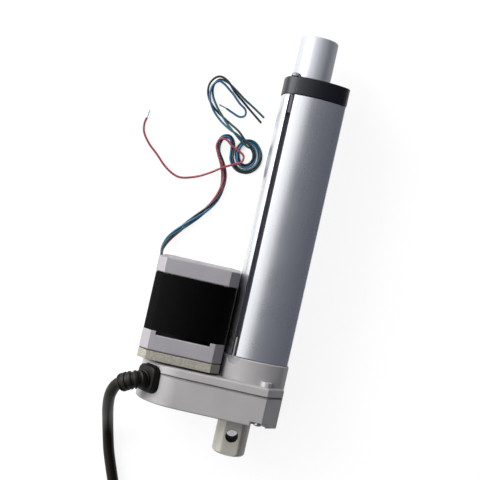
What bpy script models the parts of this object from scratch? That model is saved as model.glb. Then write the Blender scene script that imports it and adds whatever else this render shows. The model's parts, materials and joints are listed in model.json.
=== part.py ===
"""Linear actuator with a stepper motor beside its tube, lying on its back.

+Y runs along the rod towards its free end and +Z is up. The rod's axis is straight above the
origin, which is on the back face of the gearbox cover, halfway along the cover. Metres.
"""
import math

import bmesh
import bpy
import numpy as np

MM = 0.001

# Fits between pieces
FIT = 0.3 * MM                     # air between pieces that touch
SLIDE_PLAY = 0.4 * MM              # air round the rod and the nut

# Rod, nut and screw
STROKE = 100.0 * MM
ROD_RADIUS = 10.0 * MM
ROD_BORE_RADIUS = 6.8 * MM
ROD_REACH = 23.2 * MM              # rod that shows above the front cap when it is in
ROD_EDGE = 0.8 * MM
INSERT_LENGTH = 18.0 * MM
INSERT_HOLE_RADIUS = 3.4 * MM
INSERT_HOLE_DEPTH = 15.0 * MM
SCREW_RADIUS = 5.0 * MM
SCREW_JOURNAL_RADIUS = 4.0 * MM
SCREW_SPARE = 4.0 * MM             # screw past the nut when the rod is out
NUT_FLANGE_LENGTH = 8.0 * MM
NUT_SPIGOT_LENGTH = 10.0 * MM
NUT_KEY_WIDTH = 3.4 * MM
NUT_KEY_REACH = 0.8 * MM           # key past the bore's wall
NUT_KEY_INSET = 1.0 * MM           # key short of the flange's two faces

# Outer tube, seen along the rod
TUBE_LEFT = 13.55 * MM
TUBE_RIGHT = 19.9 * MM
TUBE_HALF_DEPTH = 17.0 * MM
TUBE_BORE_RADIUS = 11.6 * MM
ARCH_RADIUS = 30.0 * MM
ARCH_X = 2.0 * MM                  # where the arched faces are deepest
LEFT_LEAN = 1.8 * MM               # how far the left corners stand in from the middle of the side
LOBE_DROP = 1.3 * MM               # lobe beside the groove, below the arch
CORNER_EDGE = 1.2 * MM
GROOVE_X = -8.4 * MM
GROOVE_WIDTH = 2.5 * MM
PORT_RADIUS = 1.6 * MM
GROOVE_PORT_DEPTH = 3.9396517 * MM   # arched face to the port's middle, 11.2 mm from the axis
SIDE_PORT_X = 16.6 * MM
SIDE_PORT_HEIGHT = 8.7 * MM
CHAMBER_WALL = 1.8 * MM
CHAMBER_WIDTH = 5.3 * MM
CHAMBER_HALF_HEIGHT = 5.6 * MM
NUT_CLEARANCE = 2.0 * MM           # nut to collar when the rod is in
STOP_SPARE = 12.3 * MM             # nut to bush when the rod is out
BUSH_LENGTH = 14.0 * MM

# Front cap and wiper
CAP_LENGTH = 9.4 * MM
CAP_PROUD = 0.3 * MM
CAP_CORNER_EDGE = 2.0 * MM
WIPER_RADIUS = 11.6 * MM
WIPER_THICKNESS = 2.6 * MM

# Limit switches
SWITCH_LENGTH = 12.0 * MM
SWITCH_THICKNESS = 3.0 * MM
SWITCH_HALF_HEIGHT = 3.2 * MM
STRIP_THICKNESS = 1.2 * MM
STRIP_HALF_HEIGHT = 4.8 * MM
STRIP_END_GAP = 1.5 * MM

# Gearbox
GEARBOX_RIGHT = 20.9 * MM
GEARBOX_CHAMFER = 8.2 * MM
GEARBOX_END_INSET = 2.25 * MM      # rounded end, short of the motor's side
COVER_LENGTH = 15.5 * MM
HOUSING_RIM = 5.0 * MM
FLOOR = 2.6 * MM
COLLAR_LENGTH = 11.4 * MM
COLLAR_PROUD = 0.9 * MM
COLLAR_EDGE = 0.6 * MM
COLLAR_CORNER_EDGE = 2.4 * MM
COLLAR_LIP = 3.5 * MM              # shoulder over the bearing
CAVITY_MOTOR_RADIUS = 11.5 * MM
CAVITY_SCREW_RADIUS = 16.5 * MM
CASTING_EDGE = 0.7 * MM
LEDGE_EDGE = 1.2 * MM
PARTING_EDGE = 0.25 * MM
PAD_HEIGHT = 1.1 * MM
PAD_RADIUS = 15.0 * MM
PAD_HOLE_RADIUS = 8.0 * MM
SCOOP_RADIUS = 4.2 * MM
RIGHT_SCREW_X = 11.0 * MM
LEFT_SCREW_FROM_MOTOR = 7.0 * MM   # towards the rod from the motor's axis
COVER_SCREW_INSET = 3.7 * MM       # from the front and back faces
BOSS_RADIUS = 2.9 * MM
BOSS_HEIGHT = 2.5 * MM
POCKET_RADIUS = 4.2 * MM
POCKET_DEPTH = 2.35 * MM

# Gears, bearings and bushes
PINION_TEETH = 12
IDLER_TEETH = 16
SCREW_GEAR_TEETH = 26
PRESSURE_ANGLE = 20.0
TOOTH_PLAY = 0.3 * MM              # taken off each tooth's thickness
GEAR_WIDTH = 8.0 * MM
GEAR_LIFT = 3.4 * MM               # gears above the cover's floor
GEAR_FLAT = 0.8 * MM               # depth of the flat on a shaft
IDLER_PIN_RADIUS = 2.0 * MM
BEARING_RADIUS = 9.5 * MM
BEARING_WIDTH = 6.0 * MM
BEARING_DISH = 0.6 * MM
BEARING_RIM = 1.15 * MM            # bare ring beside a shield
SPACER_WALL = 2.2 * MM
CLIP_THICKNESS = 0.8 * MM
CLIP_WALL = 2.0 * MM

# Rear clevis
CLEVIS_RADIUS = 8.7 * MM
CLEVIS_HALF_THICKNESS = 7.6 * MM
CLEVIS_LENGTH = 20.0 * MM          # below the cover
CLEVIS_HOLE_RADIUS = 3.2 * MM
CLEVIS_HOLE_TO_END = 10.3 * MM
CLEVIS_EDGE = 1.0 * MM
CLEVIS_FLANGE_RADIUS = 11.5 * MM
CLEVIS_FLANGE = 1.6 * MM
REAR_BUSH_WALL = 1.6 * MM
REAR_BUSH_LENGTH = 3.2 * MM

# Motor
MOTOR_SIZE = 42.3 * MM
MOTOR_CORNER = 4.5 * MM
MOTOR_GAP = 0.3 * MM              # motor to tube
END_CAP_LENGTH = 8.5 * MM
END_CAP_FACE = 3.2 * MM            # solid face of an end cap
STACK_LENGTH = 30.5 * MM
STACK_INSET = 0.2 * MM
STACK_BORE_RADIUS = 11.8 * MM
STACK_YOKE = 5.15 * MM             # motor's side to the winding slots
STACK_POLES = 8
SLOT_MOUTH = 12.6                  # between two pole faces, in degrees
SLOT_ARC = 10.8                    # a winding slot's back, in degrees
EAR_HEIGHT = 1.75 * MM
EAR_WIDTH = 7.25 * MM              # in from the motor's sides
HOLE_TO_SIDE = 5.65 * MM
MOTOR_HOLE_RADIUS = 1.7 * MM
PILOT_RADIUS = 11.0 * MM
PILOT_HEIGHT = 2.0 * MM
PLATE_THICKNESS = 4.75 * MM
ROTOR_PLAY = 0.5 * MM
ROTOR_LENGTH = 26.0 * MM
MOTOR_SHAFT_RADIUS = 2.5 * MM
MOTOR_BEARING_RADIUS = 6.5 * MM
MOTOR_BEARING_WIDTH = 4.0 * MM
WINDING_WALL = 3.2 * MM
WINDING_LENGTH = 4.0 * MM

# Screws
SCREW_SHANK_RADIUS = 1.25 * MM
SCREW_HEAD_RADIUS = 2.5 * MM
SCREW_HEAD_HEIGHT = 2.0 * MM
SCREW_HEAD_RIM = 0.9 * MM          # straight part of a head's side
SCREW_CROWN_RADIUS = 1.75 * MM     # flat top of a head

# Motor leads
WIRE_DIAMETER = 1.2 * MM
WIRE_STEP = 1.4 * MM               # between the middles of wires that touch
STACK_STEP = 1.7 * MM              # between wires one above another at the motor
TWIST_PITCH = 62.0 * MM            # along the leads for one turn of their twist
TWIST_END = -30.0                  # where the first wire ends in the twist, in degrees
FLAT_LENGTH = 16.0 * MM            # from one above another at the motor to a bundle
SPREAD = 1.5 * MM                  # how far the wires of the tail spread to each side
WIRE_SPACING = 2.6 * MM            # between points along a wire
LEAD_EXIT_LENGTH = 5.0 * MM
LEAD_EXIT_DEPTH = 1.6 * MM
LEAD_EXIT_HEIGHT = 8.0 * MM
LEAD_EXIT_LOW = 5.0 * MM           # above the table
LEAD_EXIT_TO_REAR = 4.5 * MM

# Cable
CABLE_DIAMETER = 6.0 * MM
GROMMET_ANGLE = 135.0              # place on the rounded end, in degrees from +X
GROMMET_WIDTH = 13.0 * MM
GROMMET_HEIGHT = 13.4 * MM
GROMMET_PROUD = 3.0 * MM
GROMMET_SINK = 4.5 * MM
GROMMET_CORNER = 3.2 * MM
GROMMET_EDGE = 0.9 * MM
GROMMET_Y = 3.8 * MM
RELIEF_RIB_RADIUS = 4.7 * MM
RELIEF_NECK_RADIUS = 4.1 * MM
RIB_SPACING = 1.15 * MM            # from a rib to the neck beside it
CABLE_SPACING = 6.0 * MM           # between points along the cable
COIL_STEP = 6.6 * MM
COIL_RADIUS = 39.6 * MM
COIL_LAYER_TURNS = 2
LOOP_POINTS = 24
TIE_WIDTH = 4.0 * MM
TIE_THICKNESS = 0.7 * MM

# Facets
ROUND_STEPS = 32
HIDDEN_STEPS = 16
SMALL_STEPS = 10
ARCH_STEPS = 12
LEAN_STEPS = 6
END_STEPS = 18
PIN_HOLE_STEPS = 20
POLE_STEPS = 4
SLOT_STEPS = 3
CORNER_STEPS = 3
CURVE_STEPS = 16
FLANK_STEPS = 2

# Places along the rod
COVER_BOTTOM = -COVER_LENGTH / 2
PARTING = COVER_LENGTH / 2
LEDGE = PARTING + HOUSING_RIM
COLLAR_TOP = LEDGE + COLLAR_LENGTH
TUBE_LENGTH = NUT_CLEARANCE + NUT_FLANGE_LENGTH + STROKE + STOP_SPARE + BUSH_LENGTH
TUBE_TOP = COLLAR_TOP + TUBE_LENGTH
CAP_TOP = TUBE_TOP + CAP_LENGTH
ROD_TIP = CAP_TOP + ROD_REACH
NUT_BOTTOM = COLLAR_TOP + NUT_CLEARANCE
NUT_SHOULDER = NUT_BOTTOM + NUT_FLANGE_LENGTH
SCREW_TOP = NUT_SHOULDER + NUT_SPIGOT_LENGTH + STROKE + SCREW_SPARE
CAVITY_BOTTOM = COVER_BOTTOM + FLOOR
CAVITY_TOP = LEDGE - FLOOR
GEAR_BOTTOM = CAVITY_BOTTOM + GEAR_LIFT
GEAR_TOP = GEAR_BOTTOM + GEAR_WIDTH
BEARING_TOP = COLLAR_TOP - COLLAR_LIP - FIT
BEARING_BOTTOM = BEARING_TOP - BEARING_WIDTH
PLATE_BOTTOM = LEDGE + PAD_HEIGHT
MOTOR_FACE = PLATE_BOTTOM + PLATE_THICKNESS
STACK_BOTTOM = MOTOR_FACE + END_CAP_LENGTH
STACK_TOP = STACK_BOTTOM + STACK_LENGTH
MOTOR_REAR = STACK_TOP + END_CAP_LENGTH

# Places across the rod
GEARBOX_DEPTH = MOTOR_SIZE         # the gearbox's faces are in line with the motor's
AXIS_Z = GEARBOX_DEPTH / 2
MOTOR_X = -(TUBE_LEFT + MOTOR_GAP + MOTOR_SIZE / 2)
GEARBOX_LEFT = MOTOR_X - MOTOR_SIZE / 2 + GEARBOX_END_INSET
END_CENTRE_X = GEARBOX_LEFT + GEARBOX_DEPTH / 2
GEAR_MODULE = -2 * MOTOR_X / (PINION_TEETH + 2 * IDLER_TEETH + SCREW_GEAR_TEETH)
IDLER_X = -GEAR_MODULE * (IDLER_TEETH + SCREW_GEAR_TEETH) / 2
CHAMBER_RIGHT = TUBE_RIGHT - CHAMBER_WALL
CHAMBER_LEFT = CHAMBER_RIGHT - CHAMBER_WIDTH
NUT_FLANGE_RADIUS = TUBE_BORE_RADIUS - SLIDE_PLAY
COVER_SCREW_Z = GEARBOX_DEPTH / 2 - COVER_SCREW_INSET
HOLE_SPACING = MOTOR_SIZE - 2 * HOLE_TO_SIDE
EAR_START = MOTOR_SIZE / 2 - EAR_WIDTH
STACK_SLOT_RADIUS = MOTOR_SIZE / 2 - STACK_YOKE

# Routes of the cords, in millimetres, chosen by hand
LEAD_ROUTE = [
    (-57.3, 61.95, 9.0), (-57.5, 65.0, 8.9), (-57.9, 68.6, 6.8), (-57.0, 72.4, 4.3),
    (-54.9, 76.4, 2.6), (-51.4, 80.8, 1.85), (-47.4, 85.4, 1.75), (-43.0, 90.4, 1.75),
    (-38.6, 95.9, 1.75), (-35.4, 101.9, 1.75), (-33.9, 108.3, 1.75), (-34.3, 114.4, 1.75),
    (-36.4, 120.2, 1.75), (-39.2, 125.6, 1.75), (-40.9, 130.4, 1.75), (-39.7, 134.6, 1.75),
    (-36.2, 135.8, 1.75), (-33.6, 132.9, 1.75),
]
KNOT_CENTRE = (-25.0, 127.6)
KNOT_RADII = (7.6, 8.8)
KNOT_START = 180.0
KNOT_TURNS = 1.75
KNOT_STEP = 3.1                    # towards the middle in the turn between the two loops
KNOT_RISE = 3.0                    # last part of the inner loop, to pass over the outer one
RED_LEAVES = 12                    # points of the lead that the red wire follows
TAIL_ROUTE = [
    (-28.6, 135.6, 4.75), (-32.4, 138.4, 4.4), (-37.0, 141.2, 3.0), (-42.0, 144.8, 1.85),
    (-47.2, 149.4, 1.7), (-51.0, 155.2, 1.7), (-51.6, 161.2, 1.7), (-48.6, 165.4, 1.7),
    (-44.2, 164.6, 1.7), (-38.6, 160.4, 1.7),
]
BLACK_END = [(-33.4, 156.6, 1.3), (-28.2, 152.7, 0.7), (-20.8, 147.2, 0.7)]
GREEN_END = [(-32.4, 157.8, 0.8), (-27.2, 154.8, 0.7), (-19.9, 150.3, 0.7)]
BLUE_END = [
    (-34.6, 155.0, 0.8), (-30.9, 152.4, 0.7), (-30.4, 149.2, 0.7), (-33.2, 147.9, 0.7),
    (-37.2, 149.2, 0.7), (-41.2, 150.8, 0.7), (-45.4, 152.0, 0.7),
]
RED_ROUTE = [
    (-36.7, 119.2, 3.8), (-39.8, 124.9, 4.3), (-41.7, 129.4, 4.3), (-40.7, 133.2, 4.3),
    (-37.2, 133.8, 4.3), (-33.6, 131.2, 4.2), (-29.6, 129.4, 4.1), (-26.2, 127.2, 3.9),
    (-26.6, 123.6, 4.0), (-30.6, 121.4, 4.2), (-36.0, 118.4, 5.5), (-42.0, 114.4, 3.3),
    (-48.8, 110.9, 1.2),
    (-56.6, 108.6, 0.7), (-61.8, 109.5, 0.7), (-67.3, 112.9, 0.7), (-72.7, 118.0, 0.7),
    (-78.0, 122.6, 0.7), (-82.1, 128.0, 0.7), (-83.1, 132.9, 0.7), (-82.3, 137.4, 0.7),
    (-82.0, 140.8, 0.7),
]
RELIEF_ROUTE = [
    (-50.25, 3.0, 38.65), (-52.2, 2.85, 40.6), (-55.0, 2.1, 41.5), (-57.9, 0.7, 40.9),
    (-60.3, -0.9, 39.2),
]
CABLE_ROUTE = [
    (-60.7, -1.15, 38.9), (-63.2, -3.0, 37.05), (-65.6, -9.4, 31.6), (-66.3, -18.0, 21.8),
    (-66.1, -26.4, 11.2), (-65.3, -33.6, 5.3), (-63.8, -40.6, 3.4), (-62.0, -46.8, 3.05),
    (-57.2, -59.6, 3.05), (-52.0, -72.2, 3.2), (-49.2, -80.6, 3.7), (-48.6, -86.0, 4.0),
    (-48.6, -91.2, 4.0),
]
COIL_CENTRE = (-9.0, -97.8)


def clear_scene():
    for obj in list(bpy.data.objects):
        bpy.data.objects.remove(obj)


def new_collection(name):
    made = bpy.data.collections.new(name)
    bpy.context.scene.collection.children.link(made)
    return made


def finish(name, colour, roughness, metallic):
    """A plain material in the piece's colour."""
    made = bpy.data.materials.new(name)
    made.use_nodes = True
    shader = made.node_tree.nodes["Principled BSDF"]
    shader.inputs["Base Color"].default_value = (*colour, 1)
    shader.inputs["Roughness"].default_value = roughness
    shader.inputs["Metallic"].default_value = metallic
    return made


clear_scene()
parts = new_collection("linear_actuator")
cutters = new_collection("cutters")

CAST = finish("die_cast_aluminium", (0.42, 0.42, 0.44), 0.45, 0.9)
ANODISED = finish("anodised_aluminium", (0.62, 0.62, 0.65), 0.32, 0.95)
STEEL = finish("turned_steel", (0.45, 0.44, 0.43), 0.3, 1.0)
LAMINATION = finish("black_lamination", (0.012, 0.012, 0.014), 0.5, 0.2)
SAND = finish("sand_cast_plate", (0.30, 0.29, 0.24), 0.7, 0.5)
BLACK_PLASTIC = finish("black_plastic", (0.02, 0.021, 0.025), 0.45, 0.0)
GEAR_PLASTIC = finish("gear_plastic", (0.75, 0.73, 0.66), 0.45, 0.0)
BRONZE = finish("bronze", (0.45, 0.27, 0.1), 0.35, 1.0)
COPPER = finish("copper_winding", (0.5, 0.2, 0.08), 0.35, 0.9)
BOARD = finish("circuit_board", (0.02, 0.16, 0.06), 0.5, 0.0)
CABLE_BLACK = finish("cable_sheath", (0.016, 0.015, 0.014), 0.5, 0.0)
WIRE_FINISH = {
    "red": finish("wire_red", (0.45, 0.05, 0.06), 0.45, 0.0),
    "blue": finish("wire_blue", (0.03, 0.14, 0.28), 0.45, 0.0),
    "green": finish("wire_green", (0.02, 0.16, 0.12), 0.45, 0.0),
    "black": finish("wire_black", (0.012, 0.012, 0.014), 0.45, 0.0),
}


def axis_empty(name, x):
    """A frame on an axis beside the rod: its X is +X, its Y is +Z and its Z is -Y."""
    axis = bpy.data.objects.new(name, None)
    axis.location = (x, 0, AXIS_Z)
    axis.rotation_euler = (math.pi / 2, 0, 0)
    parts.objects.link(axis)
    return axis


ROD_AXIS = axis_empty("rod_axis", 0)
MOTOR_AXIS = axis_empty("motor_axis", MOTOR_X)
IDLER_AXIS = axis_empty("idler_axis", IDLER_X)


def solid_mesh(maker):
    """The closed mesh that an object evaluates to, with its faces out. The object goes."""
    bpy.context.scene.collection.objects.link(maker)
    graph = bpy.context.evaluated_depsgraph_get()
    mesh = bpy.data.meshes.new_from_object(maker.evaluated_get(graph))
    mesh.materials.clear()
    bpy.data.objects.remove(maker)
    shape = bmesh.new()
    shape.from_mesh(mesh)
    bmesh.ops.remove_doubles(shape, verts=shape.verts, dist=0.001 * MM)
    bmesh.ops.recalc_face_normals(shape, faces=shape.faces)
    shape.to_mesh(mesh)
    shape.free()
    return mesh


def add_piece(name, mesh, look, axis):
    piece = bpy.data.objects.new(name, mesh)
    piece.parent = axis
    mesh.materials.append(look)
    mesh.shade_smooth()
    mesh.set_sharp_from_angle(angle=math.radians(35))
    parts.objects.link(piece)
    return piece


def add_cutter(name, mesh, axis):
    cutter = bpy.data.objects.new(name, mesh)
    cutter.parent = axis
    cutter.hide_render = True
    cutter.display_type = "WIRE"
    cutters.objects.link(cutter)
    return cutter


def boolean(piece, tool, operation):
    step = piece.modifiers.new(tool.name, "BOOLEAN")
    step.operation = operation
    step.object = tool


def cut(piece, tool):
    boolean(piece, tool, "DIFFERENCE")


def fuse(piece, tool):
    boolean(piece, tool, "UNION")


def arc(centre, radius, start, end, steps):
    """Points on an arc between two angles in degrees, both ends included."""
    angles = np.radians(np.linspace(start, end, steps + 1))
    return [(centre[0] + radius * math.cos(a), centre[1] + radius * math.sin(a)) for a in angles]


def circle(centre, radius, steps=ROUND_STEPS):
    return arc(centre, radius, 0, 360, steps)[:-1]


def lofted(name, sections):
    """A solid through sections of one outline, each given as (points, place along the rod)."""
    count = len(sections[0][0])
    shape = bmesh.new()
    rings = [[shape.verts.new((x, z, -place)) for x, z in points] for points, place in sections]
    for low, high in zip(rings, rings[1:]):
        for i in range(count):
            shape.faces.new((low[i - 1], low[i], high[i], high[i - 1]))
    shape.faces.new(rings[0])
    shape.faces.new(rings[-1])
    bmesh.ops.recalc_face_normals(shape, faces=shape.faces)
    mesh = bpy.data.meshes.new(name)
    shape.to_mesh(mesh)
    shape.free()
    return mesh


def prism(name, outline, low, high):
    """A flat outline pulled along the rod from low to high."""
    return lofted(name, [(outline, low), (outline, high)])


def inset(outline, depth):
    """An anticlockwise outline without hollows, moved inwards."""
    moved_in = []
    for before, (x, z), after in zip(outline[-1:] + outline[:-1], outline, outline[1:] + outline[:1]):
        ahead = []
        for start, end in ((before, (x, z)), ((x, z), after)):
            length = math.dist(start, end)
            ahead.append(((end[0] - start[0]) / length, (end[1] - start[1]) / length))
        inward = (-ahead[0][1] - ahead[1][1], ahead[0][0] + ahead[1][0])
        share = depth / (1 + ahead[0][0] * ahead[1][0] + ahead[0][1] * ahead[1][1])
        moved_in.append((x + inward[0] * share, z + inward[1] * share))
    return moved_in


def softened(name, outline, low, high, low_edge, high_edge):
    """A prism whose two rims are rounded off."""
    halfway = 1 - math.sqrt(0.5)
    steps = [(1, 0), (halfway, halfway), (0, 1)]
    bottom = [(inset(outline, low_edge * depth), low + low_edge * rise) for depth, rise in steps]
    top = [(inset(outline, high_edge * depth), high - high_edge * rise) for depth, rise in reversed(steps)]
    return lofted(name, bottom + top)


def pierced(name, outlines, low, high):
    """An outline with holes in it, pulled along the rod from low to high."""
    curve = bpy.data.curves.new(name, "CURVE")
    curve.dimensions = "2D"
    curve.fill_mode = "BOTH"
    curve.extrude = (high - low) / 2
    for outline in outlines:
        spline = curve.splines.new("POLY")
        spline.points.add(len(outline) - 1)
        for point, (x, z) in zip(spline.points, outline):
            point.co = (x, z, 0, 1)
        spline.use_cyclic_u = True
    mesh = solid_mesh(bpy.data.objects.new(name, curve))
    for vertex in mesh.vertices:
        vertex.co.z -= (low + high) / 2
    return mesh


def turned(name, profile, steps=ROUND_STEPS):
    """A profile of (radius, place along the rod) points turned about the axis."""
    mesh = bpy.data.meshes.new(name)
    edges = [(i, i + 1) for i in range(len(profile) - 1)]
    if profile[0][0] > 0:
        edges.append((len(profile) - 1, 0))
    mesh.from_pydata([(radius, 0, -place) for radius, place in profile], edges, [])
    maker = bpy.data.objects.new(name, mesh)
    turn = maker.modifiers.new("turn", "SCREW")
    turn.axis = "Z"
    turn.angle = 2 * math.pi
    turn.steps = steps
    turn.render_steps = steps
    turn.use_merge_vertices = True
    turn.merge_threshold = 0.001 * MM
    return solid_mesh(maker)


def moved(mesh, x, z):
    """The mesh moved across the axis."""
    for vertex in mesh.vertices:
        vertex.co.x += x
        vertex.co.y += z
    return mesh


def rod_shape(name, radius, low, high, steps=ROUND_STEPS):
    return prism(name, circle((0, 0), radius, steps), low, high)


def ring_shape(name, inner, outer, low, high, steps=ROUND_STEPS):
    return turned(name, [(inner, low), (outer, low), (outer, high), (inner, high)], steps)


def block(name, low, high):
    """A box between two corners, given as (across, along the rod, up) from an axis."""
    shape = bmesh.new()
    bmesh.ops.create_cube(shape, size=1)
    mesh = bpy.data.meshes.new(name)
    shape.to_mesh(mesh)
    shape.free()
    for vertex in mesh.vertices:
        share = [c + 0.5 for c in vertex.co]
        x, y, z = (a + (b - a) * s for a, b, s in zip(low, high, share))
        vertex.co = (x, z, -y)
    return mesh


def swapped(mesh):
    """A shape made along Y, laid with its length up the world's Z."""
    for vertex in mesh.vertices:
        x, y, z = vertex.co
        vertex.co = (x, -z, y)
    return mesh


def mirrored(outline):
    """An outline's upper half, right to left, with its mirror image below."""
    lower = [(x, -z) for x, z in reversed(outline) if abs(z) > 1e-9]
    return outline + lower


def arch_height(x, proud):
    drop = TUBE_HALF_DEPTH - ARCH_RADIUS
    return drop + math.sqrt((ARCH_RADIUS + proud) ** 2 - (x - ARCH_X) ** 2)


def groove_port_height():
    """How far the middle of a groove's port is from the rod's axis, across the arched faces."""
    return arch_height(GROOVE_X, 0) - GROOVE_PORT_DEPTH


def tube_outline(proud, lobe):
    """The tube's section. The lobe at its left has an open screw groove, a plain step, or neither."""
    right = TUBE_RIGHT + proud
    groove_right = GROOVE_X + GROOVE_WIDTH / 2
    groove_left = GROOVE_X - GROOVE_WIDTH / 2
    corner_x = -(TUBE_LEFT + proud) + LEFT_LEAN
    lobe_height = arch_height(groove_left, proud) - LOBE_DROP
    corner_height = arch_height(corner_x, proud) - LOBE_DROP
    right_edge = COLLAR_CORNER_EDGE if lobe == "plain" else CORNER_EDGE
    left_edge = CAP_CORNER_EDGE if lobe == "step" else CORNER_EDGE
    arch_end = corner_x + left_edge if lobe == "plain" else groove_right
    across = np.linspace(right - right_edge, arch_end, ARCH_STEPS + 1)
    points = [(right, arch_height(right, proud) - right_edge)]
    points += [(x, arch_height(x, proud)) for x in across]
    if lobe == "groove":
        lip = math.degrees(math.asin(GROOVE_WIDTH / 2 / PORT_RADIUS))
        points += arc((GROOVE_X, groove_port_height()), PORT_RADIUS, 90 - lip, -270 + lip, SMALL_STEPS)
        points.append((groove_left, lobe_height))
    elif lobe == "step":
        points.append((groove_right - FIT, lobe_height))
    if lobe != "plain":
        points.append((corner_x + left_edge, corner_height))
    corner = corner_height - left_edge
    lean_radius = (corner ** 2 + LEFT_LEAN ** 2) / (2 * LEFT_LEAN)
    centre = (-(TUBE_LEFT + proud) + lean_radius, 0)
    half_angle = math.degrees(math.asin(corner / lean_radius))
    points += arc(centre, lean_radius, 180 - half_angle, 180, LEAN_STEPS)
    return mirrored(points)


def keyhole_outline():
    """The bore, the slot for the nut's key and the switch chamber, in one opening."""
    slot = NUT_KEY_WIDTH / 2 + SLIDE_PLAY
    mouth = math.degrees(math.asin(slot / TUBE_BORE_RADIUS))
    bore = arc((0, 0), TUBE_BORE_RADIUS, mouth, 360 - mouth, ROUND_STEPS)
    chamber = [
        (CHAMBER_LEFT, -slot), (CHAMBER_LEFT, -CHAMBER_HALF_HEIGHT),
        (CHAMBER_RIGHT, -CHAMBER_HALF_HEIGHT), (CHAMBER_RIGHT, CHAMBER_HALF_HEIGHT),
        (CHAMBER_LEFT, CHAMBER_HALF_HEIGHT), (CHAMBER_LEFT, slot),
    ]
    return bore + chamber


def port_places():
    """The four screw ports of the tube, as (across, up) from the rod's axis."""
    left = [(GROOVE_X, groove_port_height()), (GROOVE_X, -groove_port_height())]
    right = [(SIDE_PORT_X, SIDE_PORT_HEIGHT), (SIDE_PORT_X, -SIDE_PORT_HEIGHT)]
    return left + right


def pan_screw(name, head_seat, tip, into=1):
    """A round-headed screw. Its shank runs from the head's seat to the tip, either way along the rod."""
    head_top = head_seat - into * SCREW_HEAD_HEIGHT
    shoulder = head_seat - into * SCREW_HEAD_RIM
    profile = [
        (0, tip), (SCREW_SHANK_RADIUS, tip), (SCREW_SHANK_RADIUS, head_seat), (SCREW_HEAD_RADIUS, head_seat),
        (SCREW_HEAD_RADIUS, shoulder), (SCREW_CROWN_RADIUS, head_top), (0, head_top),
    ]
    return turned(name, profile, SMALL_STEPS)


def flat_bore(radius):
    """A round bore with one flat, for a shaft that drives the piece."""
    depth = radius - GEAR_FLAT
    half = math.degrees(math.acos(depth / radius))
    return arc((0, 0), radius, 90 + half, 450 - half, HIDDEN_STEPS)


def gear_outline(teeth, half_pitch_turn):
    """Involute teeth. The first tooth points along +X, or is turned half a pitch from there."""
    pitch = GEAR_MODULE * teeth / 2
    base = pitch * math.cos(math.radians(PRESSURE_ANGLE))
    tip = pitch + GEAR_MODULE
    root = pitch - 1.3 * GEAR_MODULE
    half_tooth = (math.pi * GEAR_MODULE / 2 - TOOTH_PLAY) / 2 / pitch

    def spread(radius):
        angle = math.acos(min(1, base / radius))
        return math.tan(angle) - angle

    radii = np.linspace(max(base, root), tip, FLANK_STEPS + 1)
    flank = [(r, half_tooth + spread(pitch) - spread(r)) for r in radii]
    flank[0] = (root, flank[0][1])
    tooth = [(r, -a) for r, a in flank] + [(r, a) for r, a in reversed(flank)]
    step = 2 * math.pi / teeth
    first = step / 2 if half_pitch_turn else 0
    return [
        (r * math.cos(a + first + i * step), r * math.sin(a + first + i * step))
        for i in range(teeth) for r, a in tooth
    ]


def gearbox_outline():
    """A half round at the motor's end and chamfered corners at the tube's end."""
    half = GEARBOX_DEPTH / 2
    end = arc((END_CENTRE_X, 0), half, 90, 270, END_STEPS)
    inner = GEARBOX_RIGHT - GEARBOX_CHAMFER
    square = half - GEARBOX_CHAMFER
    return end + [(inner, -half), (GEARBOX_RIGHT, -square), (GEARBOX_RIGHT, square), (inner, half)]


def cavity_outline():
    """Room for the gears: two rounds, one on each axis, and their tangents."""
    lean = math.degrees(math.acos((CAVITY_MOTOR_RADIUS - CAVITY_SCREW_RADIUS) / -MOTOR_X))
    screw_end = arc((0, 0), CAVITY_SCREW_RADIUS, -lean, lean, HIDDEN_STEPS)
    motor_end = arc((MOTOR_X, 0), CAVITY_MOTOR_RADIUS, lean, 360 - lean, HIDDEN_STEPS)
    return screw_end + motor_end


def motor_outline(inset=0.0):
    """The motor's square with its corners cut."""
    half = MOTOR_SIZE / 2 - inset
    flat = MOTOR_SIZE / 2 - MOTOR_CORNER
    corner = [(half, -flat), (half, flat), (flat, half), (-flat, half)]
    return corner + [(-x, -z) for x, z in corner]


def motor_holes(radius):
    half = HOLE_SPACING / 2
    return [circle((x, z), radius, SMALL_STEPS) for x in (half, -half) for z in (half, -half)]


def cover_screw_places():
    """The four screws of the gearbox, from the rod's axis."""
    across = (RIGHT_SCREW_X, MOTOR_X + LEFT_SCREW_FROM_MOTOR)
    return [(x, z) for x in across for z in (COVER_SCREW_Z, -COVER_SCREW_Z)]


def grommet_shape(name, gap):
    """The grommet, with round corners and rim, on the rounded end, or its pocket, grown by a gap."""
    half_width = GROMMET_WIDTH / 2 + gap
    half_height = GROMMET_HEIGHT / 2 + gap
    outline = rounded_box(-half_height, half_height, -half_width, half_width, GROMMET_CORNER + gap)
    low = GEARBOX_DEPTH / 2 - GROMMET_SINK - gap
    high = GEARBOX_DEPTH / 2 + GROMMET_PROUD
    if gap:
        mesh = prism(name, outline, low, high)
    else:
        mesh = softened(name, outline, low, high, GROMMET_EDGE, GROMMET_EDGE)
    turn = math.radians(GROMMET_ANGLE)
    for vertex in mesh.vertices:
        along, around, outward = vertex.co.x, vertex.co.y, -vertex.co.z
        across = outward * math.cos(turn) - around * math.sin(turn)
        up = outward * math.sin(turn) + around * math.cos(turn)
        vertex.co = (END_CENTRE_X + across, up, along - GROMMET_Y)
    return mesh


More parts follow.
